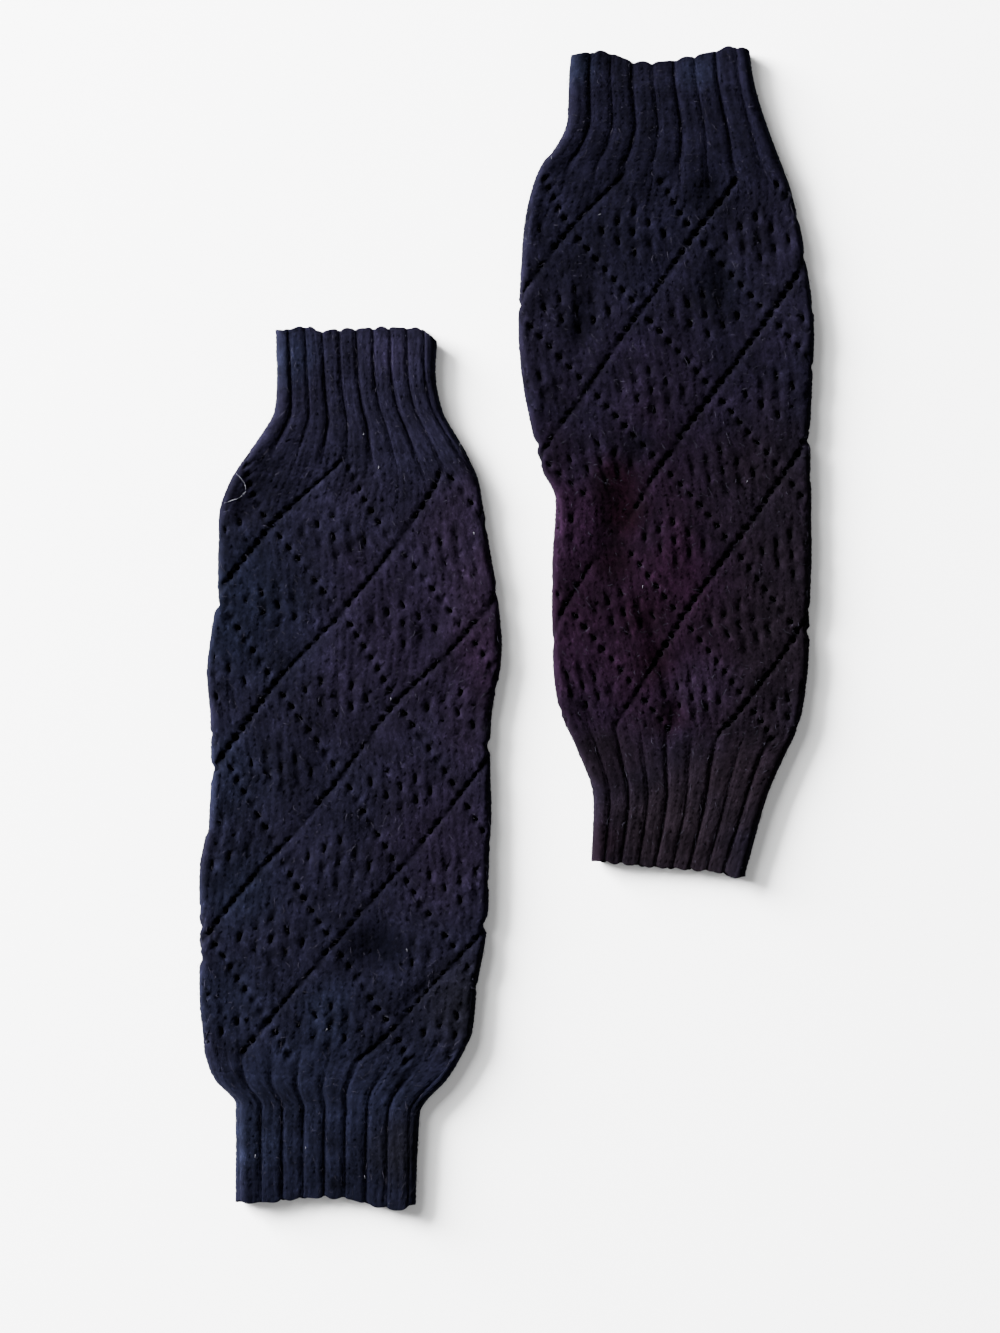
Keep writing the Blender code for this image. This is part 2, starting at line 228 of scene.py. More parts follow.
# %% Ribs and notches
RIB_FADE = (-2.0, 7.0)          # rows past the seam with the body over which the ribs run out
RAGGED = (1.6, 1.1)             # rows by which they do so unevenly, in two waves
Notch = namedtuple("Notch", "side y depth")
NOTCHES = {
    "left": (
        Notch(-1, 8.8, 1.3), Notch(-1, -56.4, 1.3), Notch(-1, -120.0, 1.1), Notch(-1, -132.4, 1.2),
        Notch(1, -46.8, 1.3), Notch(1, -119.2, 1.2),
    ),
    "right": (Notch(-1, 73.0, 1.0), Notch(1, 74.0, 1.3), Notch(1, -2.0, 1.3)),
}
NOTCH_REACH = 1.6               # millimetres along the outline


def ribbing(warmer, stitch, row):
    """How much a point belongs to a cuff, and its place across a rib: 0 in a valley."""
    ragged = RAGGED[0] * np.sin(stitch * 1.9) + RAGGED[1] * np.sin(stitch * 0.83 + 1.0)
    top = 1.0 - smooth_step(RIB_FADE[0], RIB_FADE[1] + ragged, row)
    bottom = smooth_step(-RIB_FADE[1] + ragged, -RIB_FADE[0], row - warmer.body_rows)
    valley = np.where(row < warmer.body_rows / 2.0, warmer.top.valley, warmer.bottom.valley)
    return top + bottom, ((stitch - 0.5 - valley) % RIB) / RIB


def notched(warmer, side, y):
    """How far the fold steps in where a line of eyelets goes over it."""
    places = [notch for notch in NOTCHES[warmer.name] if notch.side == side]
    return sum(notch.depth * np.exp(-((y - notch.y) / NOTCH_REACH) ** 2) for notch in places)


print("notches in the outlines:", {name: len(places) for name, places in NOTCHES.items()})

# %% [markdown]
# ## Laying the cloth on the table
# Now a stitch and a row become a place. The tables give the two folds at that row, the
# racetrack gives the place between them, and the relief of the knitting lifts the point off
# the surface. The upper layer settles on the lower one, most of all at the open rims. Under the
# tube the cloth is pressed against the table, so the relief there only goes inwards.

# %% Laying the cloth
GATHER = 0.30                   # stitches by which the columns of a rib draw together
MOUTH_DROP, MOUTH_ROWS = 1.4, 9.0       # how deep the upper layer sinks at a rim, and how far in
PRESSED, PRESSED_FROM = 0.35, 0.3       # what is left of the relief under the tube
WAVE_ROWS, SCALLOP_ROWS = 11.0, 5.0     # how far in the waves and scallops of a rim reach
SCALLOP, SCALLOP_UNEVEN = 0.45, 0.25    # how far each rib stands back at a rim


def from_rim(warmer, row):
    """Rows from a point to the nearer rim."""
    return np.minimum(row + CUFF_ROWS, warmer.body_rows + CUFF_ROWS - row)


def rim_shifts(warmer, stitch, row, rib_place, across):
    """How far the top rim pulls a point down, and how far the bottom rim pulls it up."""
    wave_top = read_table(warmer.top.rim, "drop", across)
    wave_bottom = read_table(warmer.bottom.rim, "drop", across)
    near_top = 1.0 - smooth_step(0.0, WAVE_ROWS, row + CUFF_ROWS)
    near_bottom = 1.0 - smooth_step(0.0, WAVE_ROWS, warmer.body_rows + CUFF_ROWS - row)
    scallop = SCALLOP * np.cos(2.0 * math.pi * rib_place) + SCALLOP_UNEVEN * np.sin(stitch * 2.3)
    scallop = scallop * (1.0 - smooth_step(0.0, SCALLOP_ROWS, from_rim(warmer, row)))
    return (wave_top + scallop) * near_top, (wave_bottom + scallop) * near_bottom


def settling(warmer, row, face_up, share):
    """How far the upper layer sinks, from 0 at the folds to the most in the middle."""
    settle = (FOLD_GAP - MIDDLE_GAP) * smooth_step(0.0, 1.0, face_up) * (1.0 - share ** 4)
    near_rim = 1.0 - smooth_step(0.0, MOUTH_ROWS, from_rim(warmer, row))
    mouth = MOUTH_DROP * near_rim * smooth_step(0.0, 1.0, face_up)
    return settle + mouth * (1.0 - share ** 4)


def lay(warmer, stitch, row, relief):
    """The place of each point on the table, in millimetres."""
    rib_share, rib_place = ribbing(warmer, stitch, row)
    gather = GATHER * rib_share * np.sin(2.0 * math.pi * rib_place)
    middle, fall, first, front = (
        read_table(warmer.rounds, column, row) for column in ("y", "fall", "first", "front")
    )
    left_y, right_y = middle + fall / 2.0, middle - fall / 2.0
    left_x = read_table(warmer.folds, "left", left_y) + notched(warmer, -1, left_y)
    right_x = read_table(warmer.folds, "right", right_y) - notched(warmer, 1, right_y)
    count = (stitch - 0.5 * rib_share - gather - first) % STITCHES
    travel = np.where(count <= front, 0.5 * count / front,
                      0.5 + 0.5 * (count - front) / (STITCHES - front))
    half = (right_x - left_x) / 2.0
    height = 2.0 * (BODY_WALL + (CUFF_WALL - BODY_WALL) * rib_share) + FOLD_GAP
    across, up, face_across, face_up = racetrack(half - RIB_HEIGHT * rib_share, height, travel)
    settle = settling(warmer, row, face_up, np.clip(np.abs(across / half), 0.0, 1.0))
    upper = smooth_step(-0.7, -0.1, face_up)
    pressed = np.minimum(PRESSED * (relief - PRESSED_FROM), 0.0)
    relief = relief * upper + pressed * (1.0 - upper)
    down, up_again = rim_shifts(warmer, stitch, row, rib_place, across / half)
    x = (left_x + right_x) / 2.0 + across + relief * face_across
    y = middle - across / half * fall / 2.0 - down + up_again
    z = up + relief * face_up - settle
    return np.stack([x, y, np.maximum(z, 0.0)], axis=-1)


test = lay(LEFT, np.array([10.0]), np.array([60.0]), np.array([0.0]))[0]
print("a point of the left warmer lies at", [round(float(value), 1) for value in test], "mm")

# %% [markdown]
# ## The relief of the stitches
# A knit stitch is a V of two yarn legs, and in a column of them the Vs stack like chevrons. The
# cloth's grid has four columns and two lines of points to a stitch: enough to raise two legs,
# to sink the gap between columns, and to bend each line of points into the chevron. In a rib
# the two knit columns ride on a crown, and the two purl columns sink into the valley beside it.

# %% Stitches and ribs
COLUMNS, LINES = 4, 2           # mesh columns and lines to a stitch, whose middle is column 2
LEG_PROFILE = (-0.11, 0.08, -0.03, 0.08)    # height across a stitch, in millimetres
LINE_PROFILE = (-0.07, 0.07)                # height down a stitch
CHEVRON = (-0.34, -0.02, 0.40, -0.02)       # how far each column's points hang down, in rows
UNEVEN_LEGS, SWELL = 0.065, 0.16            # chance in single legs, and slow waves in the cloth
VALLEY = 0.71                   # height of a valley at the rim, as a share of its rib's
VALLEY_DROP, VALLEY_UNEVEN = 0.13, 0.13     # how much lower it is further in, and its waves
CROWN, CROWN_ROUND = 0.86, 0.14             # a crown's height at its sides, and its rounding


def rib_profile(warmer, stitch, place, row):
    """Height across a rib, as a share: 1 on the crown, and less in the valley."""
    from_valley = np.minimum(place, 1.0 - place)
    profile = smooth_step(0.0, 0.30, from_valley) * (CROWN + CROWN_ROUND * np.sin(math.pi * place))
    valley = VALLEY - VALLEY_DROP * smooth_step(1.0, 6.0, from_rim(warmer, row))
    valley = valley + VALLEY_UNEVEN * np.sin(stitch * 0.78 + 0.06 * row + 1.0)
    return valley + (1.0 - valley) * profile


def rib_relief(warmer, stitch, row):
    rib_share, rib_place = ribbing(warmer, stitch, row)
    return RIB_HEIGHT * rib_profile(warmer, stitch, rib_place, row) * rib_share


def stitch_relief(warmer, column, line, stitch, row, chance):
    """Height of the yarn legs, the ribs, and the small unevenness of hand knitting."""
    legs = np.array(LEG_PROFILE)[column % COLUMNS] + np.array(LINE_PROFILE)[line % LINES]
    legs = legs + UNEVEN_LEGS * chance
    rib_share = ribbing(warmer, stitch, row)[0]
    swell = SWELL * np.sin(stitch * 0.7 + row * 0.11) * np.sin(row * 0.23 + stitch * 0.31)
    return legs + rib_relief(warmer, stitch, row) + swell * (1.0 - 0.6 * rib_share)


print("depth of a rib's valley:", round(RIB_HEIGHT * (1.0 - VALLEY + VALLEY_DROP), 2), "mm")

# %% [markdown]
# ## The lace chart
# The lace is a chart, as a knitter reads it. Eyelets sit on two sets of slanting lines, one
# stitch over for each two rows, which cross every sixteen stitches and thirty-two rows. Nine
# more eyelets fill the middle of each diamond. The lines that rise to the right are worked with
# stitches that lean over their eyelets, so these look like slits in a groove, while the lines
# that fall to the right are separate round holes. On one side of each warmer the cloth is
# stretched, and the slits there are pulled wide.

# %% Eyelets
Eyelet = namedtuple("Eyelet", "kind stitch row")
# The slits are pulled wide between these two numbers of stitches from the left fold.
GAPS = {"left": (1, 10), "right": (15, 40)}
MIDDLE_CLUSTER = ((0, 0), (-4, 0), (4, 0), (-2, -2), (2, -2), (-2, 2), (2, 2), (0, -4), (0, 4))
PERIOD = 2 * DIAMOND            # rows from one crossing to the next below it
CLEAR_OF_CUFF = 4               # rows without eyelets next to a cuff
WHOLE_CLUSTER = 8               # rows from a cuff to the nearest middle that has its eyelets
LEVELS = 12                     # rows of diamonds, more than any body has


def lace_chart(warmer):
    """Every eyelet of a body, each once, with its stitch number from 0 to 79."""
    chart = {}
    for row in range(CLEAR_OF_CUFF, warmer.body_rows - CLEAR_OF_CUFF + 1):
        steps = row - warmer.crossing_row
        if steps % 2:
            continue
        for repeat in range(0, STITCHES, DIAMOND):
            falling = (repeat + steps // 2) % STITCHES
            rising = (repeat - steps // 2) % STITCHES
            chart.setdefault((falling, row), "round")
            from_fold = (rising - float(read_table(warmer.rounds, "first", row))) % STITCHES
            wide = GAPS[warmer.name][0] <= from_fold <= GAPS[warmer.name][1]
            chart[(rising, row)] = "gap" if wide else "slit"
    first_crossing = warmer.crossing_row - PERIOD
    for level in range(LEVELS):
        centre_row = first_crossing + level * DIAMOND
        if not WHOLE_CLUSTER <= centre_row <= warmer.body_rows - WHOLE_CLUSTER:
            continue
        for repeat in range(0, STITCHES, DIAMOND):
            centre = repeat + (DIAMOND // 2 if level % 2 == 0 else 0)
            for across, down in MIDDLE_CLUSTER:
                row = centre_row + down
                chart.setdefault(((centre + across) % STITCHES, row), "drop")
    return [Eyelet(kind, stitch, row) for (stitch, row), kind in sorted(chart.items())]


charts = {warmer.name: lace_chart(warmer) for warmer in WARMERS}
print("eyelets:", {name: len(chart) for name, chart in charts.items()})

# %% [markdown]
# ## Finding the lace from any point
# To sink the cloth at its lace, each point has to know how far it is from the nearest slanting
# line and from the nearest eyelet. The chart repeats with every diamond, so a remainder finds
# both without a search. Each field is 1 in the middle of what it describes and fades to 0
# around it. In one place on each warmer a deep hollow stretches the lace smooth.

# %% Distances in the lace
ACROSS_A_LINE = 2.43            # millimetres from a slanting line, for each stitch beside it
NEAREST_SHARE = 0.37            # how far along its line a point beside it finds its eyelet
Smear = namedtuple("Smear", "stitch row wide long")
SMEARS = {"left": Smear(14.2, 99.0, 3.4, 6.5), "right": Smear(-1.9, 79.0, 3.2, 7.5)}


def smeared(warmer, stitch, row):
    """1 in the middle of the place where a deep hollow stretches the lace smooth."""
    smear = SMEARS[warmer.name]
    wide = ((stitch - smear.stitch + STITCHES / 2.0) % STITCHES - STITCHES / 2.0) / smear.wide
    return np.exp(-wide ** 2 - ((row - smear.row) / smear.long) ** 2)


def from_line(warmer, stitch, row, slope):
    """Stitches beside the nearest slanting line, and millimetres from its nearest eyelet."""
    steps = (row - warmer.crossing_row) / 2.0
    beside = (stitch - slope * steps + DIAMOND / 2.0) % DIAMOND - DIAMOND / 2.0
    past = steps - np.round(steps + slope * NEAREST_SHARE * beside)
    return beside, (beside + slope * past) * STITCH_WIDTH, past * 2.0 * ROW_HEIGHT


beside = float(from_line(LEFT, np.array([10.0]), np.array([60.0]), -1.0)[0][0])
print("that point is", round(abs(beside) * ACROSS_A_LINE, 1), "mm from a rising line")

# %% Fields of the lace
GROOVE_WIDTH = 1.60             # millimetres from a groove's bottom to its shoulder
BEAD_REACH = 1.5                # millimetres from an eyelet over which it deepens its groove
DOT_WIDTH, DOT_LENGTH = 1.30, 1.15          # of the dimple round an eyelet of a falling line
STROKE_WIDTH, STROKE_LENGTH = 0.95, 4.2     # of the dimple round an eyelet of a diamond
SMOOTHED = 0.85                 # how much of the lace is lost in the middle of a smear


def stroke_field(warmer, stitch, row):
    """1 in the middle of an eyelet in a diamond, and 0 far from them all."""
    from_first = row - (warmer.crossing_row - PERIOD)
    level = np.floor(from_first / DIAMOND + 0.5)
    down = from_first - level * DIAMOND
    middle = np.where(level % 2 == 0, DIAMOND // 2, 0)
    across = (stitch - middle + DIAMOND / 2.0) % DIAMOND - DIAMOND / 2.0
    field = np.zeros(stitch.shape)
    for eyelet_across, eyelet_down in MIDDLE_CLUSTER:
        wide = (across - eyelet_across) * STITCH_WIDTH / STROKE_WIDTH
        long = (down - eyelet_down) * ROW_HEIGHT / STROKE_LENGTH
        field = np.maximum(field, np.exp(-wide ** 2 - long ** 2))
    field *= 0.8 + 0.3 * np.sin(row * 0.41 + stitch * 0.63)
    middle_row, last_middle = row - down, warmer.body_rows - WHOLE_CLUSTER
    return field * ((middle_row >= WHOLE_CLUSTER) & (middle_row <= last_middle))


def lace_fields(warmer, stitch, row):
    """How far into a groove, a round hole or a stroke each point is, from 0 to 1."""
    beside, dx, dy = from_line(warmer, stitch, row, -1.0)
    width = 1.0 + 0.22 * np.sin(row * 0.9 + stitch * 0.35)
    width = GROOVE_WIDTH * (width + 0.16 * np.sin(row * 0.37 - stitch * 0.8))
    wander = 0.22 * np.sin(row * 0.83 + stitch * 0.15) + 0.14 * np.sin(row * 1.7)
    groove = np.exp(-((beside + wander) * ACROSS_A_LINE / width) ** 2)
    groove *= 0.50 + 0.50 * np.exp(-(dx ** 2 + dy ** 2) / BEAD_REACH ** 2)
    dx, dy = from_line(warmer, stitch, row, 1.0)[1:]
    dots = np.exp(-(dx / DOT_WIDTH) ** 2 - (dy / DOT_LENGTH) ** 2)
    fade = smooth_step(1.0, 4.0, row) * smooth_step(1.0, 4.0, warmer.body_rows - row)
    plain = 1.0 - SMOOTHED * smeared(warmer, stitch, row)
    return groove * fade * plain, dots * fade * plain, stroke_field(warmer, stitch, row) * plain


grid = np.meshgrid(np.arange(0.0, STITCHES, 0.5), np.arange(0.0, LEFT.body_rows, 0.5))
in_groove = lace_fields(LEFT, *grid)[0] > 0.5
print("part of the left body that lies deep in a groove:", round(float(in_groove.mean()), 3))

# %% [markdown]
# ## Grooves, puffs and soft hollows
# The slanting lines draw the cloth in, so each lies at the bottom of a shallow groove and the
# diamonds between them swell a little. Wool that was worn and laid down by hand also has soft
# hollows and creases, no two alike. Those are listed one by one, in millimetres on the table.

# %% Grooves and puffs
RISING_DEPTH, FALLING_DEPTH = 0.34, 0.40
STROKE_DEPTH = {"left": 0.42, "right": 0.60}
NOTCH_DEPTH = 1.0               # how much deeper a groove is where it goes over a fold
LEAN_RIDGE, LEAN_PLACE, LEAN_WIDTH = 0.06, 2.6, 1.3     # the leaning stitches, right of a groove
PUFF, PUFF_ROWS = 0.36, 5.0     # the swelling of a diamond, and where it fades out at a cuff


def stitches_from_fold(warmer, stitch, row):
    count = (stitch - read_table(warmer.rounds, "first", row)) % STITCHES
    front = read_table(warmer.rounds, "front", row)
    return np.minimum(np.minimum(count, STITCHES - count), np.abs(count - front))


def lace_relief(warmer, stitch, row):
    groove, dots, strokes = lace_fields(warmer, stitch, row)
    rising, falling = (from_line(warmer, stitch, row, slope)[0] for slope in (-1.0, 1.0))
    at_fold = 1.0 - smooth_step(0.3, 2.6, stitches_from_fold(warmer, stitch, row))
    depth = RISING_DEPTH + NOTCH_DEPTH * at_fold
    relief = LEAN_RIDGE * np.exp(-((rising * ACROSS_A_LINE - LEAN_PLACE) / LEAN_WIDTH) ** 2)
    relief += PUFF * smooth_step(0.5, DIAMOND / 2.0, np.minimum(np.abs(rising), np.abs(falling)))
    relief *= smooth_step(0.0, PUFF_ROWS, row) * smooth_step(0.0, PUFF_ROWS, warmer.body_rows - row)
    return relief - depth * groove - FALLING_DEPTH * dots - STROKE_DEPTH[warmer.name] * strokes


print("deepest groove, at a fold:", RISING_DEPTH + NOTCH_DEPTH, "mm")

# %% Soft hollows
# A hollow reaches this far along and across its middle line, which is turned by so many degrees.
Hollow = namedtuple("Hollow", "x y length width turn depth")
HOLLOWS = {
    "left": (
        Hollow(-52.0, -129.0, 14.0, 8.0, 50.0, 1.5),
        Hollow(-52.0, -154.0, 7.0, 2.0, -45.0, 0.8),
        Hollow(-35.5, -146.0, 9.0, 1.8, 42.0, 0.9),
        Hollow(-103.0, 47.0, 12.0, 5.0, 50.0, 0.8),
        Hollow(-72.0, -58.0, 13.0, 6.0, 75.0, 0.7),
        Hollow(-97.0, -66.0, 11.0, 5.0, 80.0, 0.5),
        Hollow(-30.0, 0.0, 14.0, 5.0, 65.0, 0.5),
        Hollow(-108.0, -155.0, 10.0, 5.0, 100.0, 0.6),
    ),
    "right": (
        Hollow(46.5, 47.0, 18.0, 9.0, 82.0, 1.5),
        Hollow(63.0, -18.0, 20.0, 3.0, 108.0, 0.9),
        Hollow(44.0, 26.0, 12.0, 6.0, 94.0, 0.8),
        Hollow(31.5, 125.0, 16.0, 5.0, 85.0, 1.2),
        Hollow(87.0, 138.0, 14.0, 5.0, 95.0, 1.0),
        Hollow(82.0, 176.0, 8.0, 4.0, 70.0, 0.7),
        Hollow(29.5, -28.0, 11.0, 1.8, -58.0, 1.0),
        Hollow(57.0, 1.0, 7.0, 2.0, -62.0, 1.0),
        Hollow(67.0, -36.0, 9.0, 2.6, 88.0, 0.9),
        Hollow(96.0, 66.0, 12.0, 5.0, 70.0, 0.5),
    ),
}


def hollow_relief(warmer, flat_points):
    relief = np.zeros(flat_points.shape[:-1])
    for hollow in HOLLOWS[warmer.name]:
        turn = math.radians(hollow.turn)
        dx, dy = flat_points[..., 0] - hollow.x, flat_points[..., 1] - hollow.y
        along = (dx * math.cos(turn) + dy * math.sin(turn)) / hollow.length
        beside = (dy * math.cos(turn) - dx * math.sin(turn)) / hollow.width
        relief -= hollow.depth * np.exp(-(along ** 2 + beside ** 2))
    return relief


print("hollows placed by hand:", {name: len(places) for name, places in HOLLOWS.items()})

# %% [markdown]
# ## Cutting the eyelets
# An eyelet is a real hole. Each kind removes a few small faces around its middle, and the
# points left at the edge move onto an ellipse, so that the hole is smooth. They also sink into
# the cloth, which rounds the edge as a loop of yarn does. An eyelet that is pulled shut keeps
# its faces and sinks as a whole, so it is a dimple. Booleans could cut many hundred holes, but
# slowly, and with ragged faces.

# %% Hole shapes
HoleShape = namedtuple("HoleShape", "cells half_width half_length turn middle start")
HOLE_SHAPES = {
    "round": HoleShape(((-1, -1), (0, -1), (-1, 0), (0, 0)), 0.78, 0.90, -15.0, (0.0, 0.0), -135.0),
    "drop": HoleShape(((-1, -2), (0, -2), (-1, -1), (0, -1), (-1, 0), (0, 0)),
                      0.34, 1.30, 0.0, (0.0, -0.5), -126.0),
    "slit": HoleShape(((-2, -1), (-1, -1), (-1, 0), (0, 0), (0, 1), (1, 1)),
                      0.54, 1.35, -34.0, (0.0, 0.5), -90.0),
    "gap": HoleShape(((-2, -1), (-1, -1), (-1, 0), (0, 0), (0, 1), (1, 1)),
                     1.02, 1.38, -34.0, (0.0, 0.5), -90.0),
}
# How far the edge of each kind of hole sinks, in millimetres.
EDGE_SINK = {"round": 0.40, "drop": 0.25, "slit": 0.35, "gap": 0.45}


def walk_edge(cells):
    """The corners of a group of cells, in order round it, from its lowest left one."""
    sides = set()
    for x, y in cells:
        square = ((x, y), (x + 1, y), (x + 1, y + 1), (x, y + 1))
        for side in zip(square, square[1:] + square[:1]):
            if side[::-1] in sides:
                sides.remove(side[::-1])
            else:
                sides.add(side)
    after = dict(sides)
    walk = [min(after, key=lambda corner: (corner[1], corner[0]))]
    while after[walk[-1]] != walk[0]:
        walk.append(after[walk[-1]])
    return walk


def hole_edge(walk, shape, size, lean):
    """The place of each corner on the hole's ellipse, in columns and lines from its stitch."""
    turn = math.radians(shape.turn + lean)
    for index in range(len(walk)):
        angle = math.radians(shape.start + 360.0 * index / len(walk))
        beside = shape.half_width * size * math.cos(angle)
        along = shape.half_length * size * math.sin(angle)
        x = beside * math.cos(turn) - along * math.sin(turn)
        y = beside * math.sin(turn) + along * math.cos(turn)
        yield shape.middle[0] + x / STITCH_WIDTH * COLUMNS, shape.middle[1] + y / ROW_HEIGHT * LINES


corners = {kind: len(walk_edge(shape.cells)) for kind, shape in HOLE_SHAPES.items()}
print("points round each kind of hole:", corners)

# %% Open the eyelets
HOLE_SIZES, EDGE_DEPTHS = (0.82, 1.08), (0.75, 1.15)    # chance shares of a shape's size and sink
SIZE_WAVE = 0.10                # how much the holes grow and shrink along the lines
HOLE_LEAN = 7.0                 # degrees by which chance turns a hole


def open_eyelets(chart, shut, smooth, wales, last_row, stitch, row, sink):
    """The faces to remove. Also moves and sinks the points round each hole in the arrays."""
    removed = []
    walks = {kind: walk_edge(shape.cells) for kind, shape in HOLE_SHAPES.items()}
    faces_across = (wales.last - wales.first) * COLUMNS
    chance = np.random.default_rng(wales.last + last_row)
    for eyelet in chart:
        shape, walk = HOLE_SHAPES[eyelet.kind], walks[eyelet.kind]
        wave = SIZE_WAVE * math.sin(eyelet.row * 0.37 + eyelet.stitch * 0.21)
        size = chance.uniform(*HOLE_SIZES) + wave
        lean = chance.normal(0.0, HOLE_LEAN)
        depth = EDGE_SINK[eyelet.kind] * chance.uniform(*EDGE_DEPTHS)
        middle_column = (eyelet.stitch - wales.first) % STITCHES * COLUMNS + COLUMNS // 2
        middle_line = (last_row - eyelet.row) * LINES
        cells = [(middle_column + x, middle_line + y) for x, y in shape.cells]
        over_edge = min(cells)[0] < 1 or max(cells)[0] > faces_across - 2
        if over_edge or eyelet in smooth:
            continue
        if eyelet in shut:
            for column, line in cells:
                sink[line + 1, column] = -depth
        else:
            removed += [line * faces_across + column for column, line in cells]
        for (x, y), (edge_x, edge_y) in zip(walk, hole_edge(walk, shape, size, lean)):
            line, column = middle_line + y, middle_column + x
            stitch[line, column] = wales.first - 0.5 + (middle_column + edge_x) / COLUMNS
            row[line, column] = last_row - (middle_line + edge_y) / LINES
            sink[line, column] = -depth
    return removed


print("an eyelet's edge sinks by up to", round(max(EDGE_SINK.values()) * EDGE_DEPTHS[1], 2), "mm")

# %% [markdown]
# ## Knitting a piece
# A piece starts as a flat grid from one bmesh operator. Its eyelets are cut while it is flat,
# which keeps the bookkeeping simple, and then every point moves to its place on the tube. A
# cuff's grid is welded into a ring. Solidify gives the cloth its thickness, inwards, so that
# the outer face stays where it was laid. A map of stitch and row numbers is kept for the wool,
# and so is a shade value, which says how deep each point lies in the lace and darkens the wool
# there as painted shade.

# %% A flat grid with holes
def grid_mesh(name, across, down, removed, ring):
    """A grid whose points keep their numbers, with its holes cut, and welded where it is a ring."""
    mesh = bmesh.new()
    number = mesh.verts.layers.int.new("number")
    bmesh.ops.create_grid(mesh, x_segments=across, y_segments=down, size=1.0)
    for index, vertex in enumerate(mesh.verts):
        vertex[number] = index
    for edge in mesh.edges:
        edge.smooth = not edge.is_boundary
    mesh.faces.ensure_lookup_table()
    bmesh.ops.delete(mesh, geom=[mesh.faces[index] for index in removed], context="FACES")
    if ring:
        sides = [vertex for vertex in mesh.verts if vertex[number] % (across + 1) in (0, across)]
        ends = {vertex[number]: vertex for vertex in sides}
        weld = {ends[index + across]: ends[index] for index in ends if index % (across + 1) == 0}
        bmesh.ops.weld_verts(mesh, targetmap=weld)
    data = bpy.data.meshes.new(name)
    mesh.to_mesh(data)
    mesh.free()
    return data


def map_stitches(data, numbers, stitch, row):
    """A UV map whose unit is one stitch across and one row down."""
    corners = np.empty(len(data.loops), dtype=np.int32)
    data.loops.foreach_get("vertex_index", corners)
    u, v = stitch.ravel()[numbers[corners]].reshape(-1, 4), -row.ravel()[numbers[corners]]
    u = np.where(u < u.max(axis=1, keepdims=True) - STITCHES / 2.0, u + STITCHES, u)
    layer = data.uv_layers.new(name="stitches")
    layer.data.foreach_set("uv", np.stack([u.ravel(), v], axis=-1).ravel())


print("mesh faces for each stitch:", COLUMNS * LINES)

# %% Piece maker
CLOTH = 1.2                     # thickness of the knitting, in millimetres
ROW_JITTER, STITCH_JITTER = 0.13, 0.035     # chance in the place of each point, in rows, stitches
COLUMN_WANDER = 0.16            # stitches by which whole columns wind to and fro
EDGE_RELIEF = 0.3               # what is left of the stitches' relief at the edge of a hole
Span = namedtuple("Span", "first last")
knit_pieces = {}


def uneven_tables(warmer):
    """Chance values for each crossing of mesh lines, the same for all pieces of a warmer."""
    chance = np.random.default_rng(sum(map(ord, warmer.name)))
    lines = (warmer.body_rows + 2 * CUFF_ROWS) * LINES + 1
    return chance.normal(0.0, 1.0, (3, lines, STITCHES * COLUMNS))


def hand_knitted(warmer, wales, rows, line, column):
    """The stitch, the row and a chance value of each point of a piece before it has holes."""
    stitch = wales.first - 0.5 + column / COLUMNS
    straight_row = rows.last - line / LINES
    inside = smooth_step(0.0, 1.5, from_rim(warmer, straight_row))
    rib_share = ribbing(warmer, stitch, straight_row)[0]
    down_line = (CUFF_ROWS + rows.last) * LINES - line
    round_column = (wales.first * COLUMNS + column) % (STITCHES * COLUMNS)
    chance = uneven_tables(warmer)[:, down_line, round_column]
    bend = np.array(CHEVRON)[column % COLUMNS] * (1.0 - 0.35 * rib_share)
    row = straight_row + (bend + ROW_JITTER * chance[0]) * inside
    jitter = STITCH_JITTER * (1.0 - 0.75 * rib_share) * chance[1]
    wander = COLUMN_WANDER * np.sin(straight_row * 0.31 + 2.0 * math.pi * stitch / STITCHES)
    return stitch + (jitter + wander) * inside, row, down_line, chance[2]


def knit_piece(name, warmer, wales, rows, chart=(), shut=(), smooth=(), ring=False):
    """One piece of knitting over a span of stitches and one of rows, as an object."""
    across, down = (wales.last - wales.first) * COLUMNS, (rows.last - rows.first) * LINES
    line, column = np.mgrid[0:down + 1, 0:across + 1]
    stitch, row, down_line, chance = hand_knitted(warmer, wales, rows, line, column)
    sink = np.zeros(stitch.shape)
    removed = open_eyelets(chart, shut, smooth, wales, rows.last, stitch, row, sink)
    relief = stitch_relief(warmer, column, down_line, stitch, row, chance)
    relief = relief * np.where(sink < 0.0, EDGE_RELIEF, 1.0) + sink
    relief = relief + lace_relief(warmer, stitch, row)
    relief += hollow_relief(warmer, lay(warmer, stitch, row, np.zeros(stitch.shape)))
    places = lay(warmer, stitch, row, relief) * MM

    data = grid_mesh(name, across, down, removed, ring)
    numbers = np.empty(len(data.vertices), dtype=np.int32)
    data.attributes["number"].data.foreach_get("value", numbers)
    map_stitches(data, numbers, stitch, row)
    # Painted shade: this value, stored as the shade attribute, darkens the wool in the grooves and
    # round the eyelets.
    in_lace = np.maximum.reduce(lace_fields(warmer, stitch, row))
    shade = data.attributes.new("shade", "FLOAT", "POINT")
    shade.data.foreach_set("value", in_lace.ravel()[numbers])
    data.vertices.foreach_set("co", places.reshape(-1, 3)[numbers].ravel())
    data.attributes.remove(data.attributes["number"])
    data.update()
    data.shade_smooth()
    piece = bpy.data.objects.new(name, data)
    bpy.context.scene.collection.objects.link(piece)
    wall = piece.modifiers.new("cloth", "SOLIDIFY")
    wall.thickness = CLOTH * MM
    wall.offset = -1.0
    knit_pieces[name] = piece
    print(f"{name}: {len(data.vertices)} points, {len(data.polygons)} faces, {len(removed)} cut")


print("thickness of the cloth:", CLOTH, "mm")

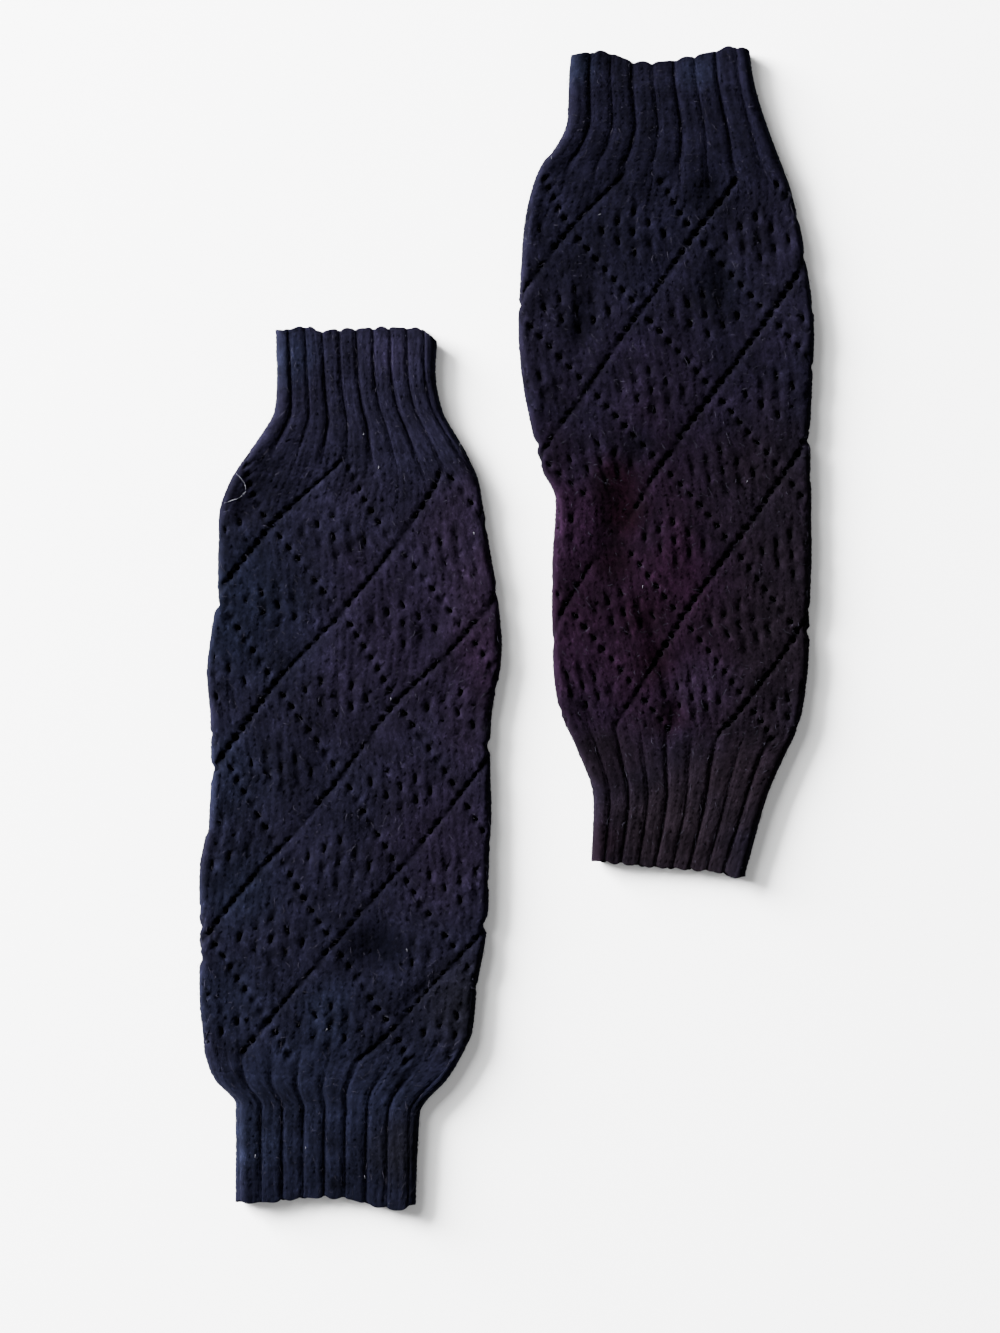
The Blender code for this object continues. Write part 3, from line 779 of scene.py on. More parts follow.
# %% [markdown]
# ## Both warmers
# The real warmers are worked round and round from one rim to the other. Here each is four
# pieces: the upper and the under half of the body, split along the folds, and two cuffs that go
# all the way round. Some eyelets are pulled shut, as in cloth that was worn: those where the
# cloth bends over a fold, those of the lower layer right below one of the upper layer, and a
# few that chance picks. Where the lace is stretched smooth there are none.

# %% Which eyelets stay open
UPPER_FACE = {"left": Span(-11, 32), "right": Span(-13, 30)}
NEAR_FOLD_ABOVE, NEAR_FOLD_BELOW = 1.4, 4.0     # stitches from a fold, in each of the layers
COVERED_ACROSS, COVERED_DOWN = 3.6, 4.4         # millimetres between eyelets of the two layers
SMEAR_LIMIT = 0.35                              # how smeared the lace is where its eyelets end
PULLED_SHUT = {
    "left": {"slit": 0.3, "gap": 0.1, "round": 0.3, "drop": 0.6},
    "right": {"slit": 0.25, "gap": 0.04, "round": 0.05, "drop": 0.25},
}


def chart_places(chart):
    stitch = np.array([float(eyelet.stitch) for eyelet in chart])
    row = np.array([float(eyelet.row) for eyelet in chart])
    return stitch, row


def top_and_bottom(warmer, chart):
    """The eyelets that face up, and those that face the table."""
    stitch, row = chart_places(chart)
    count = (stitch - read_table(warmer.rounds, "first", row)) % STITCHES
    faces_up = count <= read_table(warmer.rounds, "front", row)
    over = [eyelet for eyelet, is_up in zip(chart, faces_up) if is_up]
    return over, [eyelet for eyelet, is_up in zip(chart, faces_up) if not is_up]


def flat_places(warmer, chart):
    stitch, row = chart_places(chart)
    return lay(warmer, stitch, row, np.zeros(len(chart)))[:, :2]


def beside_fold(warmer, chart, reach):
    """The eyelets that lie on or near a fold, where the cloth bends shut over them."""
    near = stitches_from_fold(warmer, *chart_places(chart)) < reach
    return {eyelet for eyelet, is_near in zip(chart, near) if is_near}


def right_below(warmer, over, under):
    """The eyelets of the lower layer that have one of the upper layer right above them."""
    apart = np.abs(flat_places(warmer, under)[:, None] - flat_places(warmer, over)[None])
    covered = ((apart[..., 0] < COVERED_ACROSS) & (apart[..., 1] < COVERED_DOWN)).any(axis=1)
    return {eyelet for eyelet, is_covered in zip(under, covered) if is_covered}


def shut_and_smooth(warmer):
    """The eyelets that are pulled shut, and those that are stretched away."""
    name, chart = warmer.name, charts[warmer.name]
    top, bottom = top_and_bottom(warmer, chart)
    shut = beside_fold(warmer, top, NEAR_FOLD_ABOVE) | beside_fold(warmer, bottom, NEAR_FOLD_BELOW)
    shut |= right_below(warmer, top, bottom)
    chance = np.random.default_rng(len(name))
    shut |= {eyelet for eyelet in chart if chance.random() < PULLED_SHUT[name][eyelet.kind]}
    in_smear = smeared(warmer, *chart_places(chart)) > SMEAR_LIMIT
    return shut, {eyelet for eyelet, is_in in zip(chart, in_smear) if is_in}


for warmer in WARMERS:
    print(warmer.name, "warmer, eyelets pulled shut:", len(shut_and_smooth(warmer)[0]))

# %% Knit both warmers
def knit_warmer(warmer):
    name, rows = warmer.name, warmer.body_rows
    upper = UPPER_FACE[name]
    under = Span(upper.last, upper.first + STITCHES)
    width = upper.last - upper.first
    shut, smooth = shut_and_smooth(warmer)
    upper_chart = [e for e in charts[name] if (e.stitch - upper.first) % STITCHES < width]
    under_chart = [e for e in charts[name] if (e.stitch - upper.first) % STITCHES >= width]
    knit_piece(f"{name}_body_upper", warmer, upper, Span(0, rows), upper_chart, shut, smooth)
    knit_piece(f"{name}_body_under", warmer, under, Span(0, rows), under_chart, shut, smooth)
    all_round = Span(upper.first, upper.first + STITCHES)
    for end, span in (("top", Span(-CUFF_ROWS, 0)), ("bottom", Span(rows, rows + CUFF_ROWS))):
        knit_piece(f"{name}_{end}_cuff_knit", warmer, all_round, span, ring=True)


for warmer in WARMERS:
    knit_warmer(warmer)

# %% [markdown]
# ## Building shaders from code
# A shader is a tree of small nodes. A few helpers keep the lesson short: they add a node with
# its settings, a step of arithmetic, a noise, or a node group. An effect that both wools share
# is a group with named sockets, built once and placed in each material with its own values.

# %% Node helpers
MIX_FIRST, MIX_SECOND, MIX_RESULT = 6, 7, 2     # the colour sockets of a Mix node


def add_node(tree, kind, **settings):
    node = tree.nodes.new(kind)
    for key, value in settings.items():
        setattr(node, key, value)
    return node


def feed(tree, value, socket):
    """Links another node's output to a socket, or writes a plain value into it."""
    if isinstance(value, bpy.types.NodeSocket):
        tree.links.new(value, socket)
    else:
        socket.default_value = value


def maths(tree, operation, *values, clamp=False):
    node = add_node(tree, "ShaderNodeMath", operation=operation, use_clamp=clamp)
    for index, value in enumerate(values):
        feed(tree, value, node.inputs[index])
    return node.outputs[0]


def noise(tree, place, scale, detail, roughness=0.5):
    node = add_node(tree, "ShaderNodeTexNoise")
    for name, value in (("Scale", scale), ("Detail", detail), ("Roughness", roughness)):
        node.inputs[name].default_value = value
    tree.links.new(place, node.inputs["Vector"])
    return node.outputs["Fac"]


def new_group(name, inputs, outputs):
    """An empty node group with named sockets, and the sockets to read and to fill inside it."""
    group = bpy.data.node_groups.new(name, "ShaderNodeTree")
    for direction, sockets in (("INPUT", inputs), ("OUTPUT", outputs)):
        for socket, kind in sockets.items():
            kind = f"NodeSocket{kind}"
            group.interface.new_socket(name=socket, in_out=direction, socket_type=kind)
    values, results = add_node(group, "NodeGroupInput"), add_node(group, "NodeGroupOutput")
    return group, values.outputs, results.inputs


def place_group(tree, group, values):
    node = add_node(tree, "ShaderNodeGroup", node_tree=group)
    for name, value in values.items():
        feed(tree, value, node.inputs[name])
    return node.outputs


print("colour sockets of a Mix node:", (MIX_FIRST, MIX_SECOND, MIX_RESULT))

# %% [markdown]
# ## Fibres of the wool
# Fine fibres run along each leg of a stitch, a few of them paler than the rest, and the yarn
# itself is dyed in uneven streaks. Noise that is stretched along the chevron gives all three.
# It is read from the stitch map, so that it follows the knitting however the cloth lies.

# %% Fibre group
Grain = namedtuple("Grain", "across along detail")      # waves to a stitch and to a row
FIBRE, SPECK, STREAK = Grain(11.0, 2.6, 3.0), Grain(3.1, 1.5, 4.0), Grain(1.4, 0.34, 4.0)
GRAIN_ROUGHNESS = 0.7
LEG_SLANT = 1.5                 # rows that a leg climbs for each stitch across
PALE_FROM, PALE_RISE = 0.56, 7.0        # where a speck of noise starts to be pale, how fast
STREAK_GAIN, STREAK_BASE, STREAK_LEAST = 2.1, -0.06, 0.25       # contrast, base and floor


def stretched_noise(tree, stitch, row, grain):
    joined = add_node(tree, "ShaderNodeCombineXYZ")
    tree.links.new(maths(tree, "MULTIPLY", stitch, grain.across), joined.inputs[0])
    tree.links.new(maths(tree, "MULTIPLY", row, grain.along), joined.inputs[1])
    return noise(tree, joined.outputs[0], 1.0, grain.detail, GRAIN_ROUGHNESS)


def fibre_group():
    """Fibres along the legs of the stitches: their height, pale ones, and uneven yarn."""
    outputs = dict.fromkeys(("Height", "Pale Fibres", "Uneven Yarn"), "Float")
    group, _, results = new_group("wool_fibres", {}, outputs)
    split = add_node(group, "ShaderNodeSeparateXYZ")
    stitches = add_node(group, "ShaderNodeUVMap", uv_map="stitches")
    group.links.new(stitches.outputs[0], split.inputs[0])
    stitch, row = split.outputs[0], split.outputs[1]
    place = maths(group, "FRACT", maths(group, "ADD", stitch, 0.5))
    from_middle = maths(group, "ABSOLUTE", maths(group, "SUBTRACT", place, 0.5))
    along = maths(group, "MULTIPLY_ADD", from_middle, -LEG_SLANT, row)
    group.links.new(stretched_noise(group, stitch, along, FIBRE), results["Height"])
    over = maths(group, "SUBTRACT", stretched_noise(group, stitch, along, SPECK), PALE_FROM)
    pale = maths(group, "MULTIPLY", over, PALE_RISE, clamp=True)
    group.links.new(pale, results["Pale Fibres"])
    streak = stretched_noise(group, stitch, row, STREAK)
    uneven = maths(group, "MULTIPLY_ADD", streak, STREAK_GAIN, STREAK_BASE)
    group.links.new(maths(group, "MAXIMUM", uneven, STREAK_LEAST), results["Uneven Yarn"])
    return group


fibres = fibre_group()
print("node group:", fibres.name, "with", len(fibres.nodes), "nodes")

# %% [markdown]
# ## Wear and shade
# Rubbing and washing leave wool paler in blotches, large and small. Two noises on the object's
# own coordinates give them, and a floor keeps the darkest from going black. The group also
# paints shade into the yarn: the shade value that was stored with the mesh darkens it down in a
# groove and round an eyelet.

# %% Wear and painted shade group
BLOTCH_SCALE, BLOTCH_BASE, BLOTCH_LEAST = 120.0, 0.17, 0.3      # waves to a metre, base, floor
WORN_SCALE, WORN_GAIN, WORN_BASE = 34.0, 0.7, 0.65              # waves to a metre, gain, base
LACE_SHADE = 0.5                # how much darker the yarn is at the bottom of the lace, as painted shade


def wear_and_shade_group():
    """How pale the yarn is, for how much a warmer has worn, darkened by painted shade in the lace.
    """
    group, values, results = new_group("worn_wool", {"Wear": "Float"}, {"Paleness": "Float"})
    place = add_node(group, "ShaderNodeTexCoord").outputs["Object"]
    blotch = maths(group, "ADD", noise(group, place, BLOTCH_SCALE, 2.0), BLOTCH_BASE)
    blotch = maths(group, "MAXIMUM", blotch, BLOTCH_LEAST)
    rubbed = noise(group, place, WORN_SCALE, 1.0)
    rubbed = maths(group, "MULTIPLY_ADD", rubbed, WORN_GAIN, WORN_BASE)
    # Painted shade: the stored shade value darkens the yarn in the lace.
    shade = add_node(group, "ShaderNodeAttribute", attribute_name="shade").outputs["Fac"]
    shade = maths(group, "MULTIPLY_ADD", shade, -LACE_SHADE, 1.0)
    paleness = maths(group, "MULTIPLY", maths(group, "MULTIPLY", blotch, values["Wear"]), rubbed)
    group.links.new(maths(group, "MULTIPLY", paleness, shade), results["Paleness"])
    return group


wear_and_painted_shade = wear_and_shade_group()
print("node group:", wear_and_painted_shade.name, "with", len(wear_and_painted_shade.nodes), "nodes")

# %% [markdown]
# ## Patches of colour
# The yarn is a soft navy, close to black, with a plum cast in places, and its darkest patches are
# painted shade over the soft hollows.
# Each change of colour is a broad patch with soft edges, listed in millimetres on the
# table. One group mixes a patch into the colour below it. Painting a picture would do as well,
# but a table of patches is easier to change.

# %% Patch group
PATCH_CORE, PATCH_EDGE = 0.2, 1.3       # shares of a patch's reach where it starts to fade, ends
PATCH_SCALE, PATCH_WANDER = 40.0, 0.8   # a noise that makes the edges of the patches wander


def patch_group():
    """One soft patch of a tint, mixed into a colour."""
    inputs = {
        "Colour": "Color", "Tint": "Color", "Place": "Vector", "Centre": "Vector",
        "Wander": "Float", "Reach": "Float", "Amount": "Float",
    }
    group, values, results = new_group("soft_patch", inputs, {"Colour": "Color"})
    apart = add_node(group, "ShaderNodeVectorMath", operation="DISTANCE")
    group.links.new(values["Place"], apart.inputs[0])
    group.links.new(values["Centre"], apart.inputs[1])
    share = maths(group, "DIVIDE", apart.outputs["Value"], values["Reach"])
    share = maths(group, "ADD", share, values["Wander"])
    soft = add_node(group, "ShaderNodeMapRange", interpolation_type="SMOOTHSTEP")
    ends = (("Value", share), ("From Min", PATCH_CORE), ("From Max", PATCH_EDGE))
    for name, value in (*ends, ("To Min", values["Amount"]), ("To Max", 0.0)):
        feed(group, value, soft.inputs[name])
    mix = add_node(group, "ShaderNodeMix", data_type="RGBA")
    group.links.new(soft.outputs["Result"], mix.inputs["Factor"])
    group.links.new(values["Colour"], mix.inputs[MIX_FIRST])
    group.links.new(values["Tint"], mix.inputs[MIX_SECOND])
    group.links.new(mix.outputs[MIX_RESULT], results["Colour"])
    return group


patch = patch_group()
print("node group:", patch.name, "with", len(patch.nodes), "nodes")

# %% Colours of both warmers
Tint = namedtuple("Tint", "x y reach colour amount")
NAVY, INK = (0.0030, 0.0026, 0.0062), (0.0024, 0.0021, 0.0054)
# The first of these two colours is painted shade, for the soft hollows and dark creases.
DEEP_SHADE, DUSK = (0.0012, 0.0011, 0.0029), (0.0022, 0.0025, 0.0060)
SLATE, HAZE = (0.0031, 0.0036, 0.0083), (0.0033, 0.0026, 0.0062)
MAUVE, HEATHER = (0.0057, 0.0031, 0.0076), (0.0040, 0.0026, 0.0066)
# The second of these two colours is painted shade, for the deepest hollows.
LILAC, PITCH_SHADE = (0.0048, 0.0038, 0.0092), (0.0004, 0.0004, 0.0014)
VIOLET, MULBERRY = (0.0034, 0.0021, 0.0055), (0.0046, 0.0015, 0.0046)
ORCHID, PLUM = (0.0074, 0.0026, 0.0080), (0.0056, 0.0016, 0.0053)
# The first of these two colours is painted shade, a dark plum for the hollows of the right warmer.
WINE_SHADE, ASH = (0.0024, 0.0004, 0.0015), (0.0051, 0.0033, 0.0048)
CHARCOAL, GREY = (0.0031, 0.0019, 0.0034), (0.0024, 0.0023, 0.0039)
GROUND = {"left": NAVY, "right": INK}
WEAR = {"left": 0.94, "right": 0.80}      # how pale each warmer has worn
# The darkest patches below are painted shade over the soft hollows.
TINTS = {
    "left": (
        Tint(-80.0, -200.0, 80.0, DUSK, 0.9), Tint(-32.0, 0.0, 56.0, HEATHER, 0.9),
        Tint(-22.0, -84.0, 34.0, HEATHER, 0.9), Tint(-56.0, -40.0, 14.0, HAZE, 0.6),
        Tint(-110.0, 6.0, 40.0, DUSK, 1.0), Tint(-112.0, -60.0, 24.0, SLATE, 0.7),
        Tint(-106.0, -106.0, 20.0, SLATE, 0.8), Tint(-112.0, -150.0, 18.0, SLATE, 0.6),
        Tint(-72.0, -152.0, 13.0, SLATE, 0.7), Tint(-102.0, -206.0, 18.0, SLATE, 0.9),
        Tint(-86.0, 108.0, 14.0, SLATE, 0.7), Tint(-46.0, 108.0, 11.0, LILAC, 0.7),
        Tint(-61.0, 50.0, 13.0, HAZE, 0.9), Tint(-17.0, 46.0, 22.0, MAUVE, 0.5),
        Tint(-7.0, 14.0, 23.0, MAUVE, 0.9), Tint(-12.0, -38.0, 18.0, MAUVE, 0.4),
        Tint(-5.0, -14.0, 19.0, PLUM, 0.45), Tint(-4.0, 30.0, 9.0, PLUM, 0.4),
        Tint(-66.0, 108.0, 9.0, DEEP_SHADE, 0.5), Tint(-96.0, 56.0, 17.0, DEEP_SHADE, 0.7),
        Tint(-41.0, 50.0, 9.0, DEEP_SHADE, 0.4), Tint(-94.0, -6.0, 13.0, DEEP_SHADE, 0.5),
        Tint(-84.0, -60.0, 24.0, DEEP_SHADE, 0.4), Tint(-64.0, -74.0, 15.0, DEEP_SHADE, 0.45),
        Tint(-76.0, -104.0, 13.0, DEEP_SHADE, 0.4), Tint(-42.0, -95.0, 12.0, DEEP_SHADE, 0.3),
        Tint(-58.0, -127.0, 14.0, DEEP_SHADE, 1.0), Tint(-48.0, -128.0, 9.0, PITCH_SHADE, 0.9),
        Tint(-46.0, -157.0, 14.0, DEEP_SHADE, 0.7), Tint(-86.0, -156.0, 10.0, DEEP_SHADE, 0.4),
        Tint(-14.0, -150.0, 22.0, GREY, 0.9), Tint(-40.0, -208.0, 15.0, GREY, 0.9),
    ),
    "right": (
        Tint(12.0, 118.0, 36.0, HAZE, 0.8), Tint(112.0, 140.0, 44.0, HAZE, 0.8),
        Tint(62.0, 80.0, 60.0, VIOLET, 0.9), Tint(42.0, 6.0, 74.0, MULBERRY, 1.0),
        Tint(82.0, -10.0, 42.0, MULBERRY, 0.8), Tint(116.0, 50.0, 42.0, CHARCOAL, 0.8),
        Tint(114.0, -6.0, 44.0, CHARCOAL, 1.0), Tint(100.0, -52.0, 30.0, CHARCOAL, 1.0),
        Tint(66.0, -84.0, 46.0, ASH, 0.9), Tint(36.0, -54.0, 17.0, CHARCOAL, 0.9),
        Tint(24.0, 44.0, 17.0, ORCHID, 1.0),
        Tint(28.0, -14.0, 17.0, ORCHID, 0.35), Tint(35.0, -84.0, 13.0, WINE_SHADE, 0.45),
        Tint(68.0, 20.0, 16.0, PLUM, 0.8), Tint(77.0, -23.0, 17.0, MAUVE, 0.8),
        Tint(53.0, 74.0, 9.0, PITCH_SHADE, 0.6), Tint(44.0, 58.0, 12.0, WINE_SHADE, 0.9),
        Tint(47.0, 44.0, 12.0, WINE_SHADE, 1.0), Tint(44.0, 26.0, 9.0, WINE_SHADE, 0.7),
        Tint(29.0, 36.0, 8.0, ORCHID, 0.6), Tint(54.0, 4.0, 11.0, WINE_SHADE, 0.6),
        Tint(60.0, -14.0, 10.0, WINE_SHADE, 0.7), Tint(65.0, -36.0, 9.0, WINE_SHADE, 0.6),
        Tint(31.0, 122.0, 14.0, DEEP_SHADE, 0.6), Tint(86.0, 134.0, 17.0, DEEP_SHADE, 0.8),
        Tint(81.0, 172.0, 12.0, PITCH_SHADE, 0.6), Tint(85.0, 136.0, 10.0, PITCH_SHADE, 0.5),
        Tint(88.0, 110.0, 12.0, DEEP_SHADE, 0.3), Tint(42.0, 150.0, 22.0, DEEP_SHADE, 0.35),
        Tint(60.0, 206.0, 16.0, DEEP_SHADE, 0.35), Tint(46.0, 224.0, 9.0, DEEP_SHADE, 0.5),
        Tint(29.0, 224.0, 10.0, SLATE, 0.8), Tint(76.0, 222.0, 9.0, SLATE, 0.6),
    ),
}
print("patches of colour:", {name: len(tints) for name, tints in TINTS.items()})

# %% [markdown]
# ## Dark wool
# Wool scatters light between its fibres, so the shader is as rough as it can be, with next to
# no gloss and only a trace of sheen. The patches give its colour, and the fibres, the wear and
# the painted shade of the lace scale how strong that colour is. The fibres' height goes to a
# bump, because they are far too fine to model.

# %% Wool material
PALE_GAIN = 1.5                 # how much paler the pale fibres are than the yarn round them
FIBRE_BUMP, FIBRE_HEIGHT = 0.42, 0.35       # strength, and height in millimetres
MATT = {
    "Roughness": 1.0, "Specular IOR Level": 0.01,
    "Sheen Weight": 0.01, "Sheen Roughness": 0.45, "Sheen Tint": (0.75, 0.75, 1.0, 1.0),
}


def new_material(name, values):
    """A material with a Principled shader, set to the given values."""
    material = bpy.data.materials.new(name)
    material.use_nodes = True
    shader = material.node_tree.nodes["Principled BSDF"]
    for socket, value in values.items():
        shader.inputs[socket].default_value = value
    return material, material.node_tree, shader


def tinted_colour(tree, ground, tints):
    """The ground colour, with all patches of other tints mixed into it."""
    coordinates = add_node(tree, "ShaderNodeTexCoord").outputs["Object"]
    flat = add_node(tree, "ShaderNodeVectorMath", operation="MULTIPLY")
    flat.inputs[1].default_value = (1.0, 1.0, 0.0)
    tree.links.new(coordinates, flat.inputs[0])
    wander = noise(tree, coordinates, PATCH_SCALE, 2.0)
    wander = maths(tree, "MULTIPLY_ADD", wander, PATCH_WANDER, -0.5 * PATCH_WANDER)
    colour = (*ground, 1.0)
    for tint in tints:
        colour = place_group(tree, patch, {
            "Colour": colour, "Tint": (*tint.colour, 1.0), "Place": flat.outputs[0],
            "Centre": (tint.x * MM, tint.y * MM, 0.0), "Wander": wander,
            "Reach": tint.reach * MM, "Amount": tint.amount,
        })["Colour"]
    return colour


def wool(name, ground, tints, wear):
    material, tree, shader = new_material(name, MATT)
    fibre = place_group(tree, fibres, {})
    # This output carries the painted shade of the lace as well as the wear.
    paleness = place_group(tree, wear_and_painted_shade, {"Wear": wear})["Paleness"]
    strength = maths(tree, "MULTIPLY", fibre["Uneven Yarn"], paleness)
    pale = maths(tree, "MULTIPLY_ADD", fibre["Pale Fibres"], PALE_GAIN, 1.0)
    uneven = add_node(tree, "ShaderNodeVectorMath", operation="SCALE")
    tree.links.new(tinted_colour(tree, ground, tints), uneven.inputs[0])
    tree.links.new(maths(tree, "MULTIPLY", strength, pale), uneven.inputs["Scale"])
    tree.links.new(uneven.outputs[0], shader.inputs["Base Color"])
    bump = add_node(tree, "ShaderNodeBump")
    bump.inputs["Strength"].default_value = FIBRE_BUMP
    bump.inputs["Distance"].default_value = FIBRE_HEIGHT * MM
    tree.links.new(fibre["Height"], bump.inputs["Height"])
    tree.links.new(bump.outputs["Normal"], shader.inputs["Normal"])
    return material


wools = {name: wool(f"{name}_wool", GROUND[name], TINTS[name], WEAR[name]) for name in TINTS}
for name, piece in knit_pieces.items():
    piece.data.materials.append(wools[name.split("_")[0]])
print("materials:", [material.name for material in wools.values()])

# %% [markdown]
# ## Loose fibres and lint
# Wool sheds short fibres that stand off the yarn, and a few pale bits of lint cling to it. Each
# fibre is a thin tapered prism along three points. They could be hair particles, but those
# would not leave the scene as plain mesh, so one grid is cut into strands instead.

# %% Strand maker
TAPER = (0.5, 1.0, 0.2)         # shares of a fibre's radius at its start, middle and end
TABLE_CLEARANCE = 0.02          # no point of a fibre is lower than this, in millimetres


def strands(name, paths, radii, material):
    """Tapered fibres as one object: paths holds three points for each, in millimetres."""
    count = len(paths)
    run = paths[:, 2] - paths[:, 0]
    side = np.cross(run, (0.0, 0.0, 1.0))
    side /= np.linalg.norm(side, axis=1, keepdims=True)
    lift = np.cross(side, run)
    lift /= np.linalg.norm(lift, axis=1, keepdims=True)
    turn = (np.arange(4) * 2.0 * math.pi / 3.0)[None, :, None]
    ring = side[:, None] * np.cos(turn) + lift[:, None] * np.sin(turn)
    taper = radii[:, None] * np.array(TAPER)
    places = paths[:, :, None] + ring[:, None] * taper[:, :, None, None]
    places[..., 2] = np.maximum(places[..., 2], TABLE_CLEARANCE)
    mesh = bmesh.new()
    bmesh.ops.create_grid(mesh, x_segments=3, y_segments=3 * count - 1, size=1.0)
    for vertex, place in zip(mesh.verts, (places * MM).reshape(-1, 3).tolist()):
        vertex.co = place
    between = [face for index, face in enumerate(mesh.faces) if index // 3 % 3 == 2]
    bmesh.ops.delete(mesh, geom=between, context="FACES_ONLY")
    loose = [edge for edge in mesh.edges if not edge.link_faces]
    bmesh.ops.delete(mesh, geom=loose, context="EDGES_FACES")
    bmesh.ops.remove_doubles(mesh, verts=mesh.verts[:], dist=0.0005 * MM)
    data = bpy.data.meshes.new(name)
    mesh.to_mesh(data)
    mesh.free()
    data.shade_smooth()
    data.materials.append(material)
    piece = bpy.data.objects.new(name, data)
    bpy.context.scene.collection.objects.link(piece)
    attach(piece, "root")
    print(f"{name}: {count} fibres, {len(data.polygons)} faces")


def smooth_lay(warmer, stitch, row, lift):
    """A place on the cloth without its single stitches, lifted off it."""
    relief = rib_relief(warmer, stitch, row) + lace_relief(warmer, stitch, row) + lift
    relief += hollow_relief(warmer, lay(warmer, stitch, row, np.zeros(stitch.shape)))
    return lay(warmer, stitch, row, relief)


print("faces of a fibre:", 3 * (len(TAPER) - 1))

# %% Loose fibres
FUZZ = 2600                     # loose fibres on a warmer
FUZZ_ACROSS, FUZZ_DOWN, FUZZ_BOW = 0.45, 0.9, 0.2       # how far they run, in stitches and rows
FUZZ_LIFTS, FUZZ_RADII = (0.35, 0.9), (0.035, 0.07)     # least and most, in millimetres
START_LIFT, END_LIFT = 0.15, 0.3
LOOSE_WOOL = {"Base Color": (0.0075, 0.0065, 0.0115, 1.0)}
DULL = {"Roughness": 0.9, "Specular IOR Level": 0.1}
fuzz_wool = new_material("loose_wool", {**LOOSE_WOOL, **DULL})[0]


def fuzz(warmer):
    chance = np.random.default_rng(len(warmer.name))
    stitch = chance.uniform(0.0, STITCHES, FUZZ)
    row = chance.uniform(-CUFF_ROWS + 1.0, warmer.body_rows + CUFF_ROWS - 1.0, FUZZ)
    across, down = chance.normal(0.0, FUZZ_ACROSS, FUZZ), chance.normal(0.0, FUZZ_DOWN, FUZZ)
    bow = chance.normal(0.0, FUZZ_BOW, FUZZ)
    height = chance.uniform(*FUZZ_LIFTS, FUZZ)
    paths = np.stack([
        smooth_lay(warmer, stitch - across / 2.0, row - down / 2.0, START_LIFT * np.ones(FUZZ)),
        smooth_lay(warmer, stitch + bow, row, height),
        smooth_lay(warmer, stitch + across / 2.0, row + down / 2.0, END_LIFT + 0.5 * height),
    ], axis=1)
    strands(f"{warmer.name}_fuzz", paths, chance.uniform(*FUZZ_RADII, FUZZ), fuzz_wool)


for warmer in WARMERS:
    fuzz(warmer)

# %% Lint
# A bit of lint lies at x, y, is turned by so many degrees and is so many millimetres long.
Speck = namedtuple("Speck", "x y turn length")
LINT = {
    "left": (
        Speck(-50.8, 63.6, 80.0, 1.2), Speck(-18.4, 72.8, 60.0, 1.4),
        Speck(-12.8, 37.2, 120.0, 1.2), Speck(-56.8, 76.8, 70.0, 1.0),
        Speck(-46.0, -28.8, 95.0, 1.1), Speck(-39.6, -128.8, 100.0, 1.3),
        Speck(-71.6, -160.4, 60.0, 1.2), Speck(-100.0, -210.8, 85.0, 1.4),
        Speck(-80.0, -207.6, 90.0, 1.0), Speck(-56.4, -219.2, 100.0, 1.2),
    ),
    "right": (
        Speck(18.0, 186.8, 85.0, 1.6), Speck(37.2, 164.4, 30.0, 1.2),
        Speck(54.4, 16.0, 80.0, 1.2), Speck(74.0, 122.0, 120.0, 0.9),
        Speck(96.0, 58.0, 75.0, 0.9),
    ),
}
# One long pale hair on the left warmer, as the places that it goes through.
HAIR = (
    (-112.0, 63.6), (-108.0, 61.6), (-104.4, 57.6), (-103.6, 54.0), (-106.4, 51.2), (-112.4, 49.2),
)
LINT_RADIUS, LINT_LIFT, LINT_BEND, LINT_ARCH = 0.12, 0.35, 0.1, 0.2
HAIR_RADIUS, HAIR_LIFT, HAIR_BOW = 0.045, 0.5, 0.15
UPPER_LAYER = 3.0               # points of the cloth above this height are on the upper layer
lint_wool = new_material("pale_lint", {"Base Color": (0.12, 0.12, 0.14, 1.0), **DULL})[0]


def height_of_cloth(warmer, x, y):
    rows = np.arange(-CUFF_ROWS, warmer.body_rows + CUFF_ROWS, 0.5)
    stitch, row = np.meshgrid(np.arange(0.0, STITCHES, 0.5), rows)
    places = smooth_lay(warmer, stitch.ravel(), row.ravel(), LINT_LIFT)
    places = places[places[:, 2] > UPPER_LAYER]
    nearest = np.hypot(places[:, 0] - x, places[:, 1] - y).argmin()
    return float(places[nearest, 2])


def speck_path(warmer, speck):
    turn = math.radians(speck.turn)
    dx, dy = 0.5 * speck.length * math.cos(turn), 0.5 * speck.length * math.sin(turn)
    x, y, z = speck.x, speck.y, height_of_cloth(warmer, speck.x, speck.y)
    return (x - dx, y - dy, z), (x + LINT_BEND, y, z + LINT_ARCH), (x + dx, y + dy, z)


def hair_paths(warmer):
    points = [(x, y, height_of_cloth(warmer, x, y) + HAIR_LIFT) for x, y in HAIR]
    for start, end in zip(points, points[1:]):
        middle = tuple((a + b) / 2.0 + HAIR_BOW for a, b in zip(start, end))
        yield start, middle, end


def lint(warmer):
    paths = [speck_path(warmer, speck) for speck in LINT[warmer.name]]
    radii = [LINT_RADIUS] * len(paths)
    if warmer is LEFT:
        paths += hair_paths(warmer)
        radii += [HAIR_RADIUS] * (len(HAIR) - 1)
    strands(f"{warmer.name}_lint", np.array(paths), np.array(radii), lint_wool)


for warmer in WARMERS:
    lint(warmer)

# %% [markdown]
# ## Telling the frame what each piece is
# Each piece of knitting rides on the one rigid body and stands for the plain solid under it,
# which is hidden.

# %% Bodies and solids
DRAWN_IN = 0.75                 # a cuff spread flat is this share of its stitches' width


def declare(piece, node, wales, rows):
    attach(piece, "root")
    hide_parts(node)


